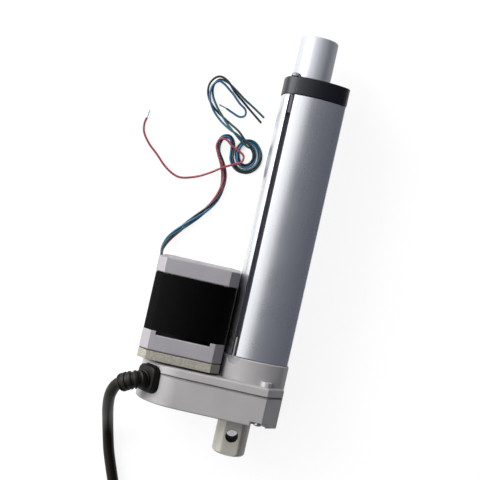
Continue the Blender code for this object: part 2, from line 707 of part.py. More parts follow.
def make_tube_and_cap():
    ports = [circle(place, PORT_RADIUS, SMALL_STEPS) for place in port_places()[2:]]
    section = [tube_outline(0, "groove"), keyhole_outline()] + ports
    add_piece("outer_tube", pierced("outer_tube", section, COLLAR_TOP + FIT, TUBE_TOP), ANODISED, ROD_AXIS)

    holes = [circle(place, PORT_RADIUS, SMALL_STEPS) for place in port_places()]
    rod_hole = circle((0, 0), ROD_RADIUS + SLIDE_PLAY)
    section = [tube_outline(CAP_PROUD, "step"), rod_hole] + holes
    cap = pierced("front_cap", section, TUBE_TOP + FIT, CAP_TOP)
    cap = add_piece("front_cap", cap, BLACK_PLASTIC, ROD_AXIS)
    seat = rod_shape("wiper_seat", WIPER_RADIUS + FIT, CAP_TOP - WIPER_THICKNESS - FIT, CAP_TOP + CAP_LENGTH)
    cut(cap, add_cutter("wiper_seat", seat, ROD_AXIS))

    lip = ROD_RADIUS + SLIDE_PLAY
    low = CAP_TOP - WIPER_THICKNESS
    wiper = turned("rod_wiper", [
        (lip, low), (WIPER_RADIUS, low), (WIPER_RADIUS, CAP_TOP),
        (WIPER_RADIUS - SLIDE_PLAY, CAP_TOP), (lip, CAP_TOP - SLIDE_PLAY),
    ])
    add_piece("rod_wiper", wiper, BLACK_PLASTIC, ROD_AXIS)
    bush = ring_shape("guide_bush", lip, TUBE_BORE_RADIUS - FIT, TUBE_TOP - BUSH_LENGTH, TUBE_TOP)
    add_piece("guide_bush", bush, GEAR_PLASTIC, ROD_AXIS)
    sunk = CAP_TOP - SCREW_HEAD_HEIGHT - FIT
    for number, (x, z) in enumerate(port_places(), 1):
        seat = CAP_TOP
        if number > 2:
            seat = sunk
            recess = rod_shape("cap_recess", SCREW_HEAD_RADIUS + FIT, sunk, CAP_TOP + CAP_LENGTH, SMALL_STEPS)
            cut(cap, add_cutter(f"cap_recess_{number}", moved(recess, x, z), ROD_AXIS))
        screw = pan_screw("cap_screw", seat + FIT, TUBE_TOP - CAP_LENGTH, into=-1)
        add_piece(f"cap_screw_{number}", moved(screw, x, z), STEEL, ROD_AXIS)


def make_rod():
    low = NUT_SHOULDER + FIT
    rod = turned("inner_rod", [
        (ROD_BORE_RADIUS, low), (ROD_RADIUS, low), (ROD_RADIUS, ROD_TIP - ROD_EDGE),
        (ROD_RADIUS - ROD_EDGE, ROD_TIP), (ROD_BORE_RADIUS, ROD_TIP),
    ])
    add_piece("inner_rod", rod, ANODISED, ROD_AXIS)
    outer = ROD_BORE_RADIUS - FIT
    mouth = ROD_TIP - FIT
    insert = turned("rod_end_insert", [
        (0, mouth - INSERT_LENGTH), (outer, mouth - INSERT_LENGTH), (outer, mouth),
        (INSERT_HOLE_RADIUS, mouth), (INSERT_HOLE_RADIUS, mouth - INSERT_HOLE_DEPTH),
        (0, mouth - INSERT_HOLE_DEPTH),
    ])
    add_piece("rod_end_insert", insert, STEEL, ROD_AXIS)

    hole = SCREW_RADIUS + FIT
    spigot = ROD_BORE_RADIUS - FIT
    nut = add_piece("drive_nut", turned("drive_nut", [
        (hole, NUT_BOTTOM), (NUT_FLANGE_RADIUS, NUT_BOTTOM), (NUT_FLANGE_RADIUS, NUT_SHOULDER),
        (spigot, NUT_SHOULDER), (spigot, NUT_SHOULDER + NUT_SPIGOT_LENGTH),
        (hole, NUT_SHOULDER + NUT_SPIGOT_LENGTH),
    ]), GEAR_PLASTIC, ROD_AXIS)
    key = block(
        "nut_key",
        (NUT_FLANGE_RADIUS - NUT_KEY_REACH, NUT_BOTTOM + NUT_KEY_INSET, -NUT_KEY_WIDTH / 2),
        (TUBE_BORE_RADIUS + NUT_KEY_REACH, NUT_SHOULDER - NUT_KEY_INSET, NUT_KEY_WIDTH / 2),
    )
    fuse(nut, add_cutter("nut_key", key, ROD_AXIS))


def make_limit_switches():
    board_left = CHAMBER_RIGHT - FIT - STRIP_THICKNESS
    low = COLLAR_TOP + STRIP_END_GAP
    high = TUBE_TOP - STRIP_END_GAP
    board = block(
        "limit_switch_strip",
        (board_left, low, -STRIP_HALF_HEIGHT), (CHAMBER_RIGHT - FIT, high, STRIP_HALF_HEIGHT),
    )
    add_piece("limit_switch_strip", board, BOARD, ROD_AXIS)
    right = board_left - FIT
    places = {"limit_switch_in": NUT_BOTTOM, "limit_switch_out": NUT_BOTTOM + STROKE}
    for name, place in places.items():
        body = block(
            name,
            (right - SWITCH_THICKNESS, place, -SWITCH_HALF_HEIGHT),
            (right, place + SWITCH_LENGTH, SWITCH_HALF_HEIGHT),
        )
        add_piece(name, body, BLACK_PLASTIC, ROD_AXIS)


def make_gearbox():
    outline = gearbox_outline()
    cover = softened("gearbox_cover", outline, COVER_BOTTOM, PARTING, CASTING_EDGE, PARTING_EDGE)
    cover = add_piece("gearbox_cover", cover, CAST, ROD_AXIS)
    housing = softened("gearbox_housing", outline, PARTING + FIT, LEDGE, PARTING_EDGE, LEDGE_EDGE)
    housing = add_piece("gearbox_housing", housing, CAST, ROD_AXIS)

    motor_side = MOTOR_X + MOTOR_SIZE / 2 + FIT
    section = [(max(x, motor_side), z) for x, z in tube_outline(COLLAR_PROUD, "plain")]
    collar = softened("collar", section, LEDGE - FLOOR, COLLAR_TOP, COLLAR_EDGE, COLLAR_EDGE)
    fuse(housing, add_cutter("collar", collar, ROD_AXIS))
    pad = rod_shape("motor_pad", PAD_RADIUS, LEDGE - FLOOR / 2, PLATE_BOTTOM - FIT)
    fuse(housing, add_cutter("motor_pad", pad, MOTOR_AXIS))
    for number, (x, z) in enumerate(cover_screw_places()[:2], 1):
        boss = rod_shape("boss", BOSS_RADIUS, LEDGE - FLOOR / 2, LEDGE + BOSS_HEIGHT, SMALL_STEPS)
        fuse(housing, add_cutter(f"boss_{number}", moved(boss, x, z), ROD_AXIS))
    scoop = scoop_mesh()
    cut(housing, add_cutter("collar_scoop", scoop, ROD_AXIS))

    room = prism("gear_room", cavity_outline(), CAVITY_BOTTOM, CAVITY_TOP)
    room_tool = add_cutter("gear_room", room, ROD_AXIS)
    cut(cover, room_tool)
    cut(housing, room_tool)
    seat = rod_shape("bearing_seat", BEARING_RADIUS + FIT, CAVITY_TOP - FLOOR, BEARING_TOP + FIT)
    cut(housing, add_cutter("bearing_seat", seat, ROD_AXIS))
    screw_hole = rod_shape("screw_hole", SCREW_RADIUS + SPACER_WALL, BEARING_BOTTOM, COLLAR_TOP + FLOOR)
    cut(housing, add_cutter("screw_hole", screw_hole, ROD_AXIS))
    shaft_hole = rod_shape("motor_shaft_hole", PAD_HOLE_RADIUS, CAVITY_TOP - FLOOR, PLATE_BOTTOM + FLOOR)
    cut(housing, add_cutter("motor_shaft_hole", shaft_hole, MOTOR_AXIS))
    clevis_hole = rod_shape("clevis_hole", CLEVIS_RADIUS + FIT, COVER_BOTTOM - FLOOR, CAVITY_BOTTOM + FLOOR)
    cut(cover, add_cutter("clevis_hole", clevis_hole, ROD_AXIS))

    hole = SCREW_SHANK_RADIUS + FIT
    head = SCREW_HEAD_RADIUS + FIT
    head_seat = COVER_BOTTOM + POCKET_DEPTH
    for number, (x, z) in enumerate(cover_screw_places(), 1):
        top = LEDGE + BOSS_HEIGHT / 2 if number <= 2 else LEDGE - FIT
        shank = rod_shape("screw_way", hole, COVER_BOTTOM - FLOOR, top, SMALL_STEPS)
        way = add_cutter(f"screw_way_{number}", moved(shank, x, z), ROD_AXIS)
        cut(cover, way)
        cut(housing, way)
        pocket = rod_shape("head_pocket", head, COVER_BOTTOM - FLOOR, head_seat, SMALL_STEPS)
        pocket = open_pocket(x, z) if number <= 2 else moved(pocket, x, z)
        cut(cover, add_cutter(f"head_pocket_{number}", pocket, ROD_AXIS))
        screw = pan_screw("cover_screw", head_seat - FIT, top - FIT, into=1)
        add_piece(f"cover_screw_{number}", moved(screw, x, z), STEEL, ROD_AXIS)
    for number, (x, z) in enumerate(port_places(), 1):
        seat_top = COLLAR_TOP - COLLAR_LIP
        way = rod_shape("tube_screw_way", hole, PARTING, COLLAR_TOP + FLOOR, SMALL_STEPS)
        cut(housing, add_cutter(f"tube_screw_way_{number}", moved(way, x, z), ROD_AXIS))
        recess = rod_shape("tube_screw_recess", head, PARTING, seat_top, SMALL_STEPS)
        cut(housing, add_cutter(f"tube_screw_recess_{number}", moved(recess, x, z), ROD_AXIS))
        screw = pan_screw("tube_screw", seat_top - FIT, COLLAR_TOP + CAP_LENGTH, into=1)
        add_piece(f"tube_screw_{number}", moved(screw, x, z), STEEL, ROD_AXIS)

    pocket = add_cutter("grommet_pocket", grommet_shape("grommet_pocket", FIT), ROD_AXIS)
    cut(cover, pocket)
    cut(housing, pocket)
    add_piece("cable_grommet", grommet_shape("cable_grommet", 0), BLACK_PLASTIC, ROD_AXIS)


def scoop_mesh():
    """A round dish in the collar's front corner, under the tube's groove."""
    shape = bmesh.new()
    bmesh.ops.create_uvsphere(shape, u_segments=SMALL_STEPS, v_segments=SMALL_STEPS // 2, radius=SCOOP_RADIUS)
    mesh = bpy.data.meshes.new("collar_scoop")
    shape.to_mesh(mesh)
    shape.free()
    height = arch_height(GROOVE_X, COLLAR_PROUD) + SCOOP_RADIUS / 3
    for vertex in mesh.vertices:
        vertex.co.x += GROOVE_X
        vertex.co.y += height
        vertex.co.z -= COLLAR_TOP
    return mesh


def open_pocket(x, z):
    """A pocket for a screw head, round at its inner end and open to the gearbox's face."""
    side = math.copysign(1, z)
    reach = GEARBOX_DEPTH / 2 + POCKET_RADIUS
    bow = arc((x, z), POCKET_RADIUS, 180, 180 + side * 180, SMALL_STEPS)
    outline = bow + [(x + POCKET_RADIUS, side * reach), (x - POCKET_RADIUS, side * reach)]
    return prism("head_pocket", outline, COVER_BOTTOM - FLOOR, COVER_BOTTOM + POCKET_DEPTH)


def make_gears():
    screw_hole = SCREW_JOURNAL_RADIUS + FIT
    shaft_hole = MOTOR_SHAFT_RADIUS + FIT
    pin_hole = IDLER_PIN_RADIUS + FIT
    gears = [
        ("screw_gear", SCREW_GEAR_TEETH, False, flat_bore(screw_hole), ROD_AXIS),
        ("idler_gear", IDLER_TEETH, True, circle((0, 0), pin_hole, HIDDEN_STEPS), IDLER_AXIS),
        ("motor_pinion", PINION_TEETH, False, flat_bore(shaft_hole), MOTOR_AXIS),
    ]
    for name, teeth, turned_half, bore, axis in gears:
        section = [gear_outline(teeth, turned_half), bore]
        add_piece(name, pierced(name, section, GEAR_BOTTOM, GEAR_TOP), GEAR_PLASTIC, axis)
    pin = rod_shape("idler_pin", IDLER_PIN_RADIUS, CAVITY_BOTTOM + FIT, CAVITY_TOP - FIT, HIDDEN_STEPS)
    add_piece("idler_pin", pin, STEEL, IDLER_AXIS)


def shielded_bearing(name, bore, outer, low, high):
    """A ball bearing closed by its shields, which lie a little below the rings."""
    inner_rim = bore + BEARING_RIM
    outer_rim = outer - BEARING_RIM
    return turned(name, [
        (bore, low), (inner_rim, low), (inner_rim, low + BEARING_DISH), (outer_rim, low + BEARING_DISH),
        (outer_rim, low), (outer, low), (outer, high), (outer_rim, high),
        (outer_rim, high - BEARING_DISH), (inner_rim, high - BEARING_DISH), (inner_rim, high), (bore, high),
    ], HIDDEN_STEPS)


def make_screw():
    tail = CAVITY_BOTTOM + FIT - REAR_BUSH_LENGTH / 2
    edge = SCREW_RADIUS - SCREW_JOURNAL_RADIUS
    screw = add_piece("lead_screw", turned("lead_screw", [
        (0, tail), (SCREW_JOURNAL_RADIUS, tail), (SCREW_JOURNAL_RADIUS, BEARING_TOP + FIT),
        (SCREW_RADIUS, BEARING_TOP + FIT), (SCREW_RADIUS, SCREW_TOP - edge),
        (SCREW_JOURNAL_RADIUS, SCREW_TOP), (0, SCREW_TOP),
    ], HIDDEN_STEPS), STEEL, ROD_AXIS)
    add_flat(screw, "screw_flat", SCREW_JOURNAL_RADIUS, ROD_AXIS, GEAR_BOTTOM - FIT, GEAR_TOP + FIT)

    bore = SCREW_JOURNAL_RADIUS + FIT
    bearing = shielded_bearing("screw_bearing", bore, BEARING_RADIUS, BEARING_BOTTOM, BEARING_TOP)
    add_piece("screw_bearing", bearing, STEEL, ROD_AXIS)
    low, high = GEAR_TOP + FIT, BEARING_BOTTOM - FIT
    spacer = ring_shape("screw_spacer", bore, bore + SPACER_WALL, low, high, HIDDEN_STEPS)
    add_piece("screw_spacer", spacer, STEEL, ROD_AXIS)
    clip_top = GEAR_BOTTOM - FIT
    clip = ring_shape("gear_clip", bore, bore + CLIP_WALL, clip_top - CLIP_THICKNESS, clip_top, HIDDEN_STEPS)
    add_piece("gear_clip", clip, STEEL, ROD_AXIS)
    bush = ring_shape("rear_bush", bore, bore + REAR_BUSH_WALL, tail, tail + REAR_BUSH_LENGTH, HIDDEN_STEPS)
    add_piece("rear_bush", bush, BRONZE, ROD_AXIS)


def add_flat(shaft, name, radius, axis, low, high):
    """Cuts the flat that drives a gear."""
    tool = block(name, (-2 * radius, low, radius - GEAR_FLAT), (2 * radius, high, 2 * radius))
    cut(shaft, add_cutter(name, tool, axis))


def make_clevis():
    bottom = COVER_BOTTOM - CLEVIS_LENGTH
    flange_low = CAVITY_BOTTOM + FIT
    bush_seat = SCREW_JOURNAL_RADIUS + REAR_BUSH_WALL + 2 * FIT
    seat_low = CAVITY_BOTTOM - REAR_BUSH_LENGTH / 2
    clevis = add_piece("rear_clevis", turned("rear_clevis", [
        (0, bottom), (CLEVIS_RADIUS - CLEVIS_EDGE, bottom), (CLEVIS_RADIUS, bottom + CLEVIS_EDGE),
        (CLEVIS_RADIUS, flange_low), (CLEVIS_FLANGE_RADIUS, flange_low),
        (CLEVIS_FLANGE_RADIUS, flange_low + CLEVIS_FLANGE), (bush_seat, flange_low + CLEVIS_FLANGE),
        (bush_seat, seat_low), (0, seat_low),
    ]), STEEL, ROD_AXIS)
    for side, name in ((1, "clevis_front_flat"), (-1, "clevis_back_flat")):
        near = side * CLEVIS_HALF_THICKNESS
        far = side * 2 * CLEVIS_RADIUS
        flat = block(
            name,
            (-2 * CLEVIS_RADIUS, bottom - CLEVIS_LENGTH, min(near, far)),
            (2 * CLEVIS_RADIUS, COVER_BOTTOM, max(near, far)),
        )
        cut(clevis, add_cutter(name, flat, ROD_AXIS))
    reach = 2 * CLEVIS_RADIUS
    hole = swapped(rod_shape("clevis_pin_hole", CLEVIS_HOLE_RADIUS, -reach, reach, PIN_HOLE_STEPS))
    for vertex in hole.vertices:
        vertex.co.z -= bottom + CLEVIS_HOLE_TO_END
    cut(clevis, add_cutter("clevis_pin_hole", hole, ROD_AXIS))


def end_cap(name, face, inward):
    """A motor end cap: outer face, bearing seat, and a hollow towards the stack."""
    low, high = sorted((face, face + inward * (END_CAP_LENGTH - FIT)))
    shape = softened(name, motor_outline(), low, high, CASTING_EDGE, CASTING_EDGE)
    cap = add_piece(name, shape, CAST, MOTOR_AXIS)
    inner = face + inward * END_CAP_LENGTH
    solid = face + inward * END_CAP_FACE
    hollow_low, hollow_high = sorted((solid, inner + inward * FLOOR))
    hollow = rod_shape(f"{name}_hollow", STACK_SLOT_RADIUS, hollow_low, hollow_high, HIDDEN_STEPS)
    bearing_face = solid - inward * (MOTOR_BEARING_WIDTH / 2)
    seat_low, seat_high = sorted((bearing_face, inner))
    seat = rod_shape(f"{name}_seat", MOTOR_BEARING_RADIUS + FIT, seat_low, seat_high, HIDDEN_STEPS)
    hole_low, hole_high = sorted((face - inward * 2 * FLOOR, inner))
    hole = rod_shape(f"{name}_hole", MOTOR_SHAFT_RADIUS + SLIDE_PLAY, hole_low, hole_high, HIDDEN_STEPS)
    return cap, [(f"{name}_hollow", hollow), (f"{name}_seat", seat), (f"{name}_hole", hole)], bearing_face


def make_motor():
    front, front_tools, front_bearing = end_cap("motor_front_cap", MOTOR_FACE, 1)
    pilot = rod_shape("motor_pilot", PILOT_RADIUS, MOTOR_FACE - PILOT_HEIGHT, MOTOR_FACE + END_CAP_FACE)
    fuse(front, add_cutter("motor_pilot", pilot, MOTOR_AXIS))
    half = MOTOR_SIZE / 2
    flat = half - MOTOR_CORNER
    ear = [(EAR_START, EAR_START), (half, EAR_START), (half, flat), (flat, half), (EAR_START, half)]
    for number, ear in enumerate(at_corners(ear), 1):
        mesh = prism("motor_ear", ear, STACK_BOTTOM - END_CAP_FACE, STACK_BOTTOM - FIT + EAR_HEIGHT)
        fuse(front, add_cutter(f"motor_ear_{number}", mesh, MOTOR_AXIS))
    for name, mesh in front_tools:
        cut(front, add_cutter(name, mesh, MOTOR_AXIS))
    rear, rear_tools, rear_bearing = end_cap("motor_rear_cap", MOTOR_REAR, -1)
    for name, mesh in rear_tools:
        cut(rear, add_cutter(name, mesh, MOTOR_AXIS))
    spot = SCREW_HEAD_RADIUS + FIT
    hole_ways = [(x * HOLE_SPACING / 2, z * HOLE_SPACING / 2) for x in (1, -1) for z in (1, -1)]
    screw_seat = MOTOR_REAR - SCREW_HEAD_HEIGHT
    tie_tip = PLATE_BOTTOM + PLATE_THICKNESS / 4
    for number, (x, z) in enumerate(hole_ways, 1):
        recess = rod_shape("tie_recess", spot, screw_seat, MOTOR_REAR + FLOOR, SMALL_STEPS)
        cut(rear, add_cutter(f"tie_recess_{number}", moved(recess, x, z), MOTOR_AXIS))
        way = rod_shape("tie_way", MOTOR_HOLE_RADIUS, tie_tip, MOTOR_REAR + FLOOR, SMALL_STEPS)
        way = add_cutter(f"tie_way_{number}", moved(way, x, z), MOTOR_AXIS)
        cut(front, way)
        cut(rear, way)
        tie = pan_screw("motor_tie_screw", screw_seat + FIT, tie_tip, into=-1)
        add_piece(f"motor_tie_screw_{number}", moved(tie, x, z), STEEL, MOTOR_AXIS)

    stack = add_piece("motor_stator", pierced(
        "motor_stator", [motor_outline(STACK_INSET), pole_outline()] + motor_holes(MOTOR_HOLE_RADIUS),
        STACK_BOTTOM, STACK_TOP), LAMINATION, MOTOR_AXIS)
    inner = EAR_START - FIT
    outer = half + FLOOR
    notch = [(inner, inner), (outer, inner), (outer, outer), (inner, outer)]
    for number, notch in enumerate(at_corners(notch), 1):
        mesh = prism("ear_notch", notch, STACK_BOTTOM - FLOOR, STACK_BOTTOM + EAR_HEIGHT)
        cut(stack, add_cutter(f"ear_notch_{number}", mesh, MOTOR_AXIS))

    middle = (STACK_BOTTOM + STACK_TOP) / 2
    shaft_bore = MOTOR_SHAFT_RADIUS + FIT
    rotor = ring_shape(
        "motor_rotor", shaft_bore, STACK_BORE_RADIUS - ROTOR_PLAY,
        middle - ROTOR_LENGTH / 2, middle + ROTOR_LENGTH / 2, HIDDEN_STEPS)
    add_piece("motor_rotor", rotor, STEEL, MOTOR_AXIS)
    shaft_tip = CAVITY_BOTTOM + 2 * FIT
    shaft = rod_shape("motor_shaft", MOTOR_SHAFT_RADIUS, shaft_tip, MOTOR_REAR - FIT, HIDDEN_STEPS)
    shaft = add_piece("motor_shaft", shaft, STEEL, MOTOR_AXIS)
    add_flat(shaft, "motor_shaft_flat", MOTOR_SHAFT_RADIUS, MOTOR_AXIS, shaft_tip - FIT, GEAR_TOP + FIT)
    for name, face, inward in (
            ("motor_front_bearing", front_bearing, 1), ("motor_rear_bearing", rear_bearing, -1)):
        low, high = sorted((face + inward * FIT, face + inward * (MOTOR_BEARING_WIDTH + FIT)))
        mesh = ring_shape(name, shaft_bore, MOTOR_BEARING_RADIUS, low, high, HIDDEN_STEPS)
        add_piece(name, mesh, STEEL, MOTOR_AXIS)
    outer = STACK_SLOT_RADIUS - FIT
    inner = outer - WINDING_WALL
    windings = {
        "motor_winding_front": STACK_BOTTOM - FIT - WINDING_LENGTH,
        "motor_winding_rear": STACK_TOP + FIT,
    }
    for name, low in windings.items():
        mesh = ring_shape(name, inner, outer, low, low + WINDING_LENGTH, HIDDEN_STEPS)
        add_piece(name, mesh, COPPER, MOTOR_AXIS)

    holes = [circle((0, 0), PILOT_RADIUS + FIT)] + motor_holes(MOTOR_HOLE_RADIUS)
    plate = pierced("motor_adapter_plate", [motor_outline()] + holes, PLATE_BOTTOM, MOTOR_FACE - FIT)
    add_piece("motor_adapter_plate", plate, SAND, MOTOR_AXIS)

    exit_high = MOTOR_REAR - LEAD_EXIT_TO_REAR
    side = -MOTOR_SIZE / 2 - FIT
    lead_exit = block(
        "motor_lead_exit",
        (side - LEAD_EXIT_DEPTH, exit_high - LEAD_EXIT_LENGTH, LEAD_EXIT_LOW - AXIS_Z),
        (side, exit_high, LEAD_EXIT_LOW + LEAD_EXIT_HEIGHT - AXIS_Z),
    )
    add_piece("motor_lead_exit", lead_exit, BLACK_PLASTIC, MOTOR_AXIS)


def at_corners(outline):
    """An outline at the motor's upper right corner, and its images at all four."""
    signs = [(1, 1), (-1, 1), (-1, -1), (1, -1)]
    return [[(x_sign * x, z_sign * z) for x, z in outline] for x_sign, z_sign in signs]


def pole_outline():
    """The stack's bore: pole faces, with a winding slot between each two."""
    pitch = 360 / STACK_POLES
    half_pole = (pitch - SLOT_MOUTH) / 2
    points = []
    for pole in range(STACK_POLES):
        middle = pole * pitch
        slot = middle + pitch / 2
        points += arc((0, 0), STACK_BORE_RADIUS, middle - half_pole, middle + half_pole, POLE_STEPS)
        points += arc((0, 0), STACK_SLOT_RADIUS, slot - SLOT_ARC / 2, slot + SLOT_ARC / 2, SLOT_STEPS)
    return points


def travelled(points):
    """How far along a line each of its points is, in millimetres."""
    steps = np.linalg.norm(np.diff(points, axis=0), axis=1)
    return np.concatenate([[0], np.cumsum(steps)])


def smooth(points, spacing):
    """Even steps along a smooth curve through the given points."""
    points = np.array(points, float)
    padded = np.vstack([2 * points[0] - points[1], points, 2 * points[-1] - points[-2]])
    fine = []
    for a, b, c, d in zip(padded, padded[1:], padded[2:], padded[3:]):
        for t in np.linspace(0, 1, CURVE_STEPS, endpoint=False):
            fine.append(0.5 * (2 * b + (c - a) * t + (2 * a - 5 * b + 4 * c - d) * t ** 2
                               + (3 * b - a - 3 * c + d) * t ** 3))
    fine = np.array(fine + [points[-1]])
    travel = travelled(fine)
    count = max(2, round(travel[-1] / spacing))
    wanted = np.linspace(0, travel[-1], count + 1)
    return np.column_stack([np.interp(wanted, travel, fine[:, i]) for i in range(3)])


def tube_along(name, points, radius, look, resolution, widths=None):
    """A round cord along points in millimetres."""
    curve = bpy.data.curves.new(name, "CURVE")
    curve.dimensions = "3D"
    curve.bevel_depth = radius
    curve.bevel_resolution = resolution
    curve.use_fill_caps = True
    spline = curve.splines.new("POLY")
    spline.points.add(len(points) - 1)
    for number, place in enumerate(points):
        spline.points[number].co = (*(c * MM for c in place), 1)
        spline.points[number].radius = 1 if widths is None else widths[number]
    curve.materials.append(look)
    cord = bpy.data.objects.new(name, curve)
    parts.objects.link(cord)


def least_gap(points, diameter):
    """The least air between turns of one cord, in millimetres, from points along it."""
    points = np.array(points)
    travel = travelled(points)
    apart = np.linalg.norm(points[:, None] - points[None], axis=2)
    along = np.abs(travel[:, None] - travel[None])
    return float(apart[along > 4 * diameter].min() - diameter)


def eased(values):
    """A smooth step from 0 to 1."""
    share = np.clip(values, 0, 1)
    return share ** 2 * (3 - 2 * share)


def beside(points, across, above):
    """A line moved to its own left and up from it, by a distance for each point."""
    ahead = np.gradient(points, axis=0)
    ahead /= np.linalg.norm(ahead, axis=1)[:, None]
    left = np.cross([0, 0, 1], ahead)
    left /= np.linalg.norm(left, axis=1)[:, None]
    return points + left * across[:, None] + np.cross(ahead, left) * above[:, None]


def knot_turns():
    """Two loops of the leads, the second inside the first and rising at its end."""
    count = round(LOOP_POINTS * KNOT_TURNS)
    turns = np.linspace(0, KNOT_TURNS, count + 1)
    angles = np.radians(KNOT_START + 360 * turns)
    inward = KNOT_STEP * eased((turns - 0.6) / 0.5)
    across = KNOT_CENTRE[0] + (KNOT_RADII[0] - inward) * np.cos(angles)
    along = KNOT_CENTRE[1] + (KNOT_RADII[1] - inward) * np.sin(angles)
    height = LEAD_ROUTE[-1][2] + KNOT_RISE * eased((turns - KNOT_TURNS + 0.4) / 0.4)
    return [tuple(p) for p in np.column_stack([across, along, height])]


def strand(common, leave, number):
    """One of the twisted leads. Wires 1 to 3 share the whole way, and wire 0 leaves early."""
    travel = travelled(common)
    step = WIRE_STEP / MM
    past_leave = eased((travel - leave) / (FLAT_LENGTH / MM) - 0.5)
    turn = np.maximum(travel - FLAT_LENGTH / MM, 0)
    turn = (turn - travel[-1] + FLAT_LENGTH / MM) / (TWIST_PITCH / MM) * 360 + TWIST_END
    turn += number * (90 + 30 * past_leave)
    reach = step * (math.sqrt(0.5) + past_leave * (math.sqrt(1 / 3) - math.sqrt(0.5)))
    tail = eased((travel - travel[-1] + TWIST_PITCH / MM) / (FLAT_LENGTH / MM))
    wide = reach + (SPREAD / MM - reach) * tail
    bundled = eased(travel / (FLAT_LENGTH / MM))
    across = wide * np.cos(np.radians(turn))
    above = reach * np.sin(np.radians(turn))
    rank = np.argsort(np.argsort([math.sin(math.radians(turn[0] + 90 * (i - number))) for i in range(4)]))
    stacked = (rank[number] - 1.5) * STACK_STEP / MM
    return beside(common, across * bundled, stacked + (above - stacked) * bundled)


def make_leads():
    radius = WIRE_DIAMETER / 2
    diameter = WIRE_DIAMETER / MM
    spacing = WIRE_SPACING / MM
    common = smooth(LEAD_ROUTE + knot_turns() + TAIL_ROUTE, spacing)
    leave = travelled(smooth(LEAD_ROUTE[:RED_LEAVES], spacing))[-1]
    ends = {"red": RED_ROUTE, "black": BLACK_END, "blue": BLUE_END, "green": GREEN_END}
    for number, (colour, end) in enumerate(ends.items()):
        shared = strand(common, leave, number)
        if colour == "red":
            shared = shared[travelled(common) < leave]
        loose = smooth([tuple(p) for p in shared[-3:]] + end, spacing)
        wire = np.vstack([shared[:-3], loose])
        print(f"motor_wire_{colour}: least gap between turns {least_gap(wire, diameter):.2f} mm")
        tube_along(f"motor_wire_{colour}", wire, radius, WIRE_FINISH[colour], 1)


def coil_points():
    """The cable's coil: in on the lower layer, up in half a turn, and out on the upper one."""
    step = COIL_STEP / MM
    total = 2 * COIL_LAYER_TURNS + 0.5
    turns = np.linspace(0, total, round(total * LOOP_POINTS) + 1)
    low = (TIE_THICKNESS + FIT + CABLE_DIAMETER / 2) / MM
    straight = (CABLE_DIAMETER + FIT) / MM
    points = [(COIL_CENTRE[0] - COIL_RADIUS / MM, COIL_CENTRE[1] + straight, low)]
    for turn in turns:
        past = turn - COIL_LAYER_TURNS
        inward = COIL_LAYER_TURNS + 0.25 - abs(turn - COIL_LAYER_TURNS - 0.25)
        climb = min(max(past / 0.5, 0), 1)
        radius = COIL_RADIUS / MM - step * inward
        height = low + step * climb ** 2 * (3 - 2 * climb)
        angle = math.radians(180 + 360 * turn)
        points.append((
            COIL_CENTRE[0] + radius * math.cos(angle), COIL_CENTRE[1] + radius * math.sin(angle), height))
    end = points[-1]
    points.append((end[0], end[1] + straight, end[2]))
    return points


def make_cable():
    radius = CABLE_DIAMETER / 2
    relief = smooth(RELIEF_ROUTE, RIB_SPACING / MM)
    ribs = len(relief)
    widths = [1.0 if i % 2 == 0 else RELIEF_NECK_RADIUS / RELIEF_RIB_RADIUS for i in range(ribs)]
    tube_along("cable_strain_relief", relief, RELIEF_RIB_RADIUS, BLACK_PLASTIC, 2, widths)
    tube_along("control_cable", smooth(CABLE_ROUTE, CABLE_SPACING / MM), radius, CABLE_BLACK, 2)
    coil = coil_points()
    print(f"control_cable_coil: least gap between turns {least_gap(coil, CABLE_DIAMETER / MM):.2f} mm")
    tube_along("control_cable_coil", coil, radius, CABLE_BLACK, 1)
    add_piece("cable_tie", tie_mesh(), BLACK_PLASTIC, None)


def tie_mesh():
    """A strap round the coil's two layers, at the side nearest the actuator."""
    middle = COIL_RADIUS - COIL_STEP * (COIL_LAYER_TURNS / 2 + 0.25)
    reach = COIL_STEP * COIL_LAYER_TURNS / 2 + FIT
    low = TIE_THICKNESS
    high = low + 2 * FIT + COIL_STEP + CABLE_DIAMETER
    corner = CABLE_DIAMETER / 3
    inner = rounded_box(-reach, reach, low, high, corner)
    thick = TIE_THICKNESS
    outer = rounded_box(-reach - thick, reach + thick, low - thick, high + thick, corner + thick)
    mesh = pierced("cable_tie", [outer, inner], -TIE_WIDTH / 2, TIE_WIDTH / 2)
    for vertex in mesh.vertices:
        along, up, across = vertex.co
        vertex.co = (COIL_CENTRE[0] * MM + across, COIL_CENTRE[1] * MM + middle + along, up)
    return mesh


def rounded_box(left, right, low, high, radius):
    corners = [(right, high, 0), (left, high, 90), (left, low, 180), (right, low, 270)]
    points = []
    for x, z, start in corners:
        centre = (x - math.copysign(radius, x), z - radius if z == high else z + radius)
        points += arc(centre, radius, start, start + 90, CORNER_STEPS)
    return points


make_tube_and_cap()
make_rod()
make_limit_switches()
make_gearbox()
make_gears()
make_screw()
make_clevis()
make_motor()
make_leads()
make_cable()
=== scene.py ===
"""Looks of the linear actuator: finishes, edges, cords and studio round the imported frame. Metres."""
import json
import math

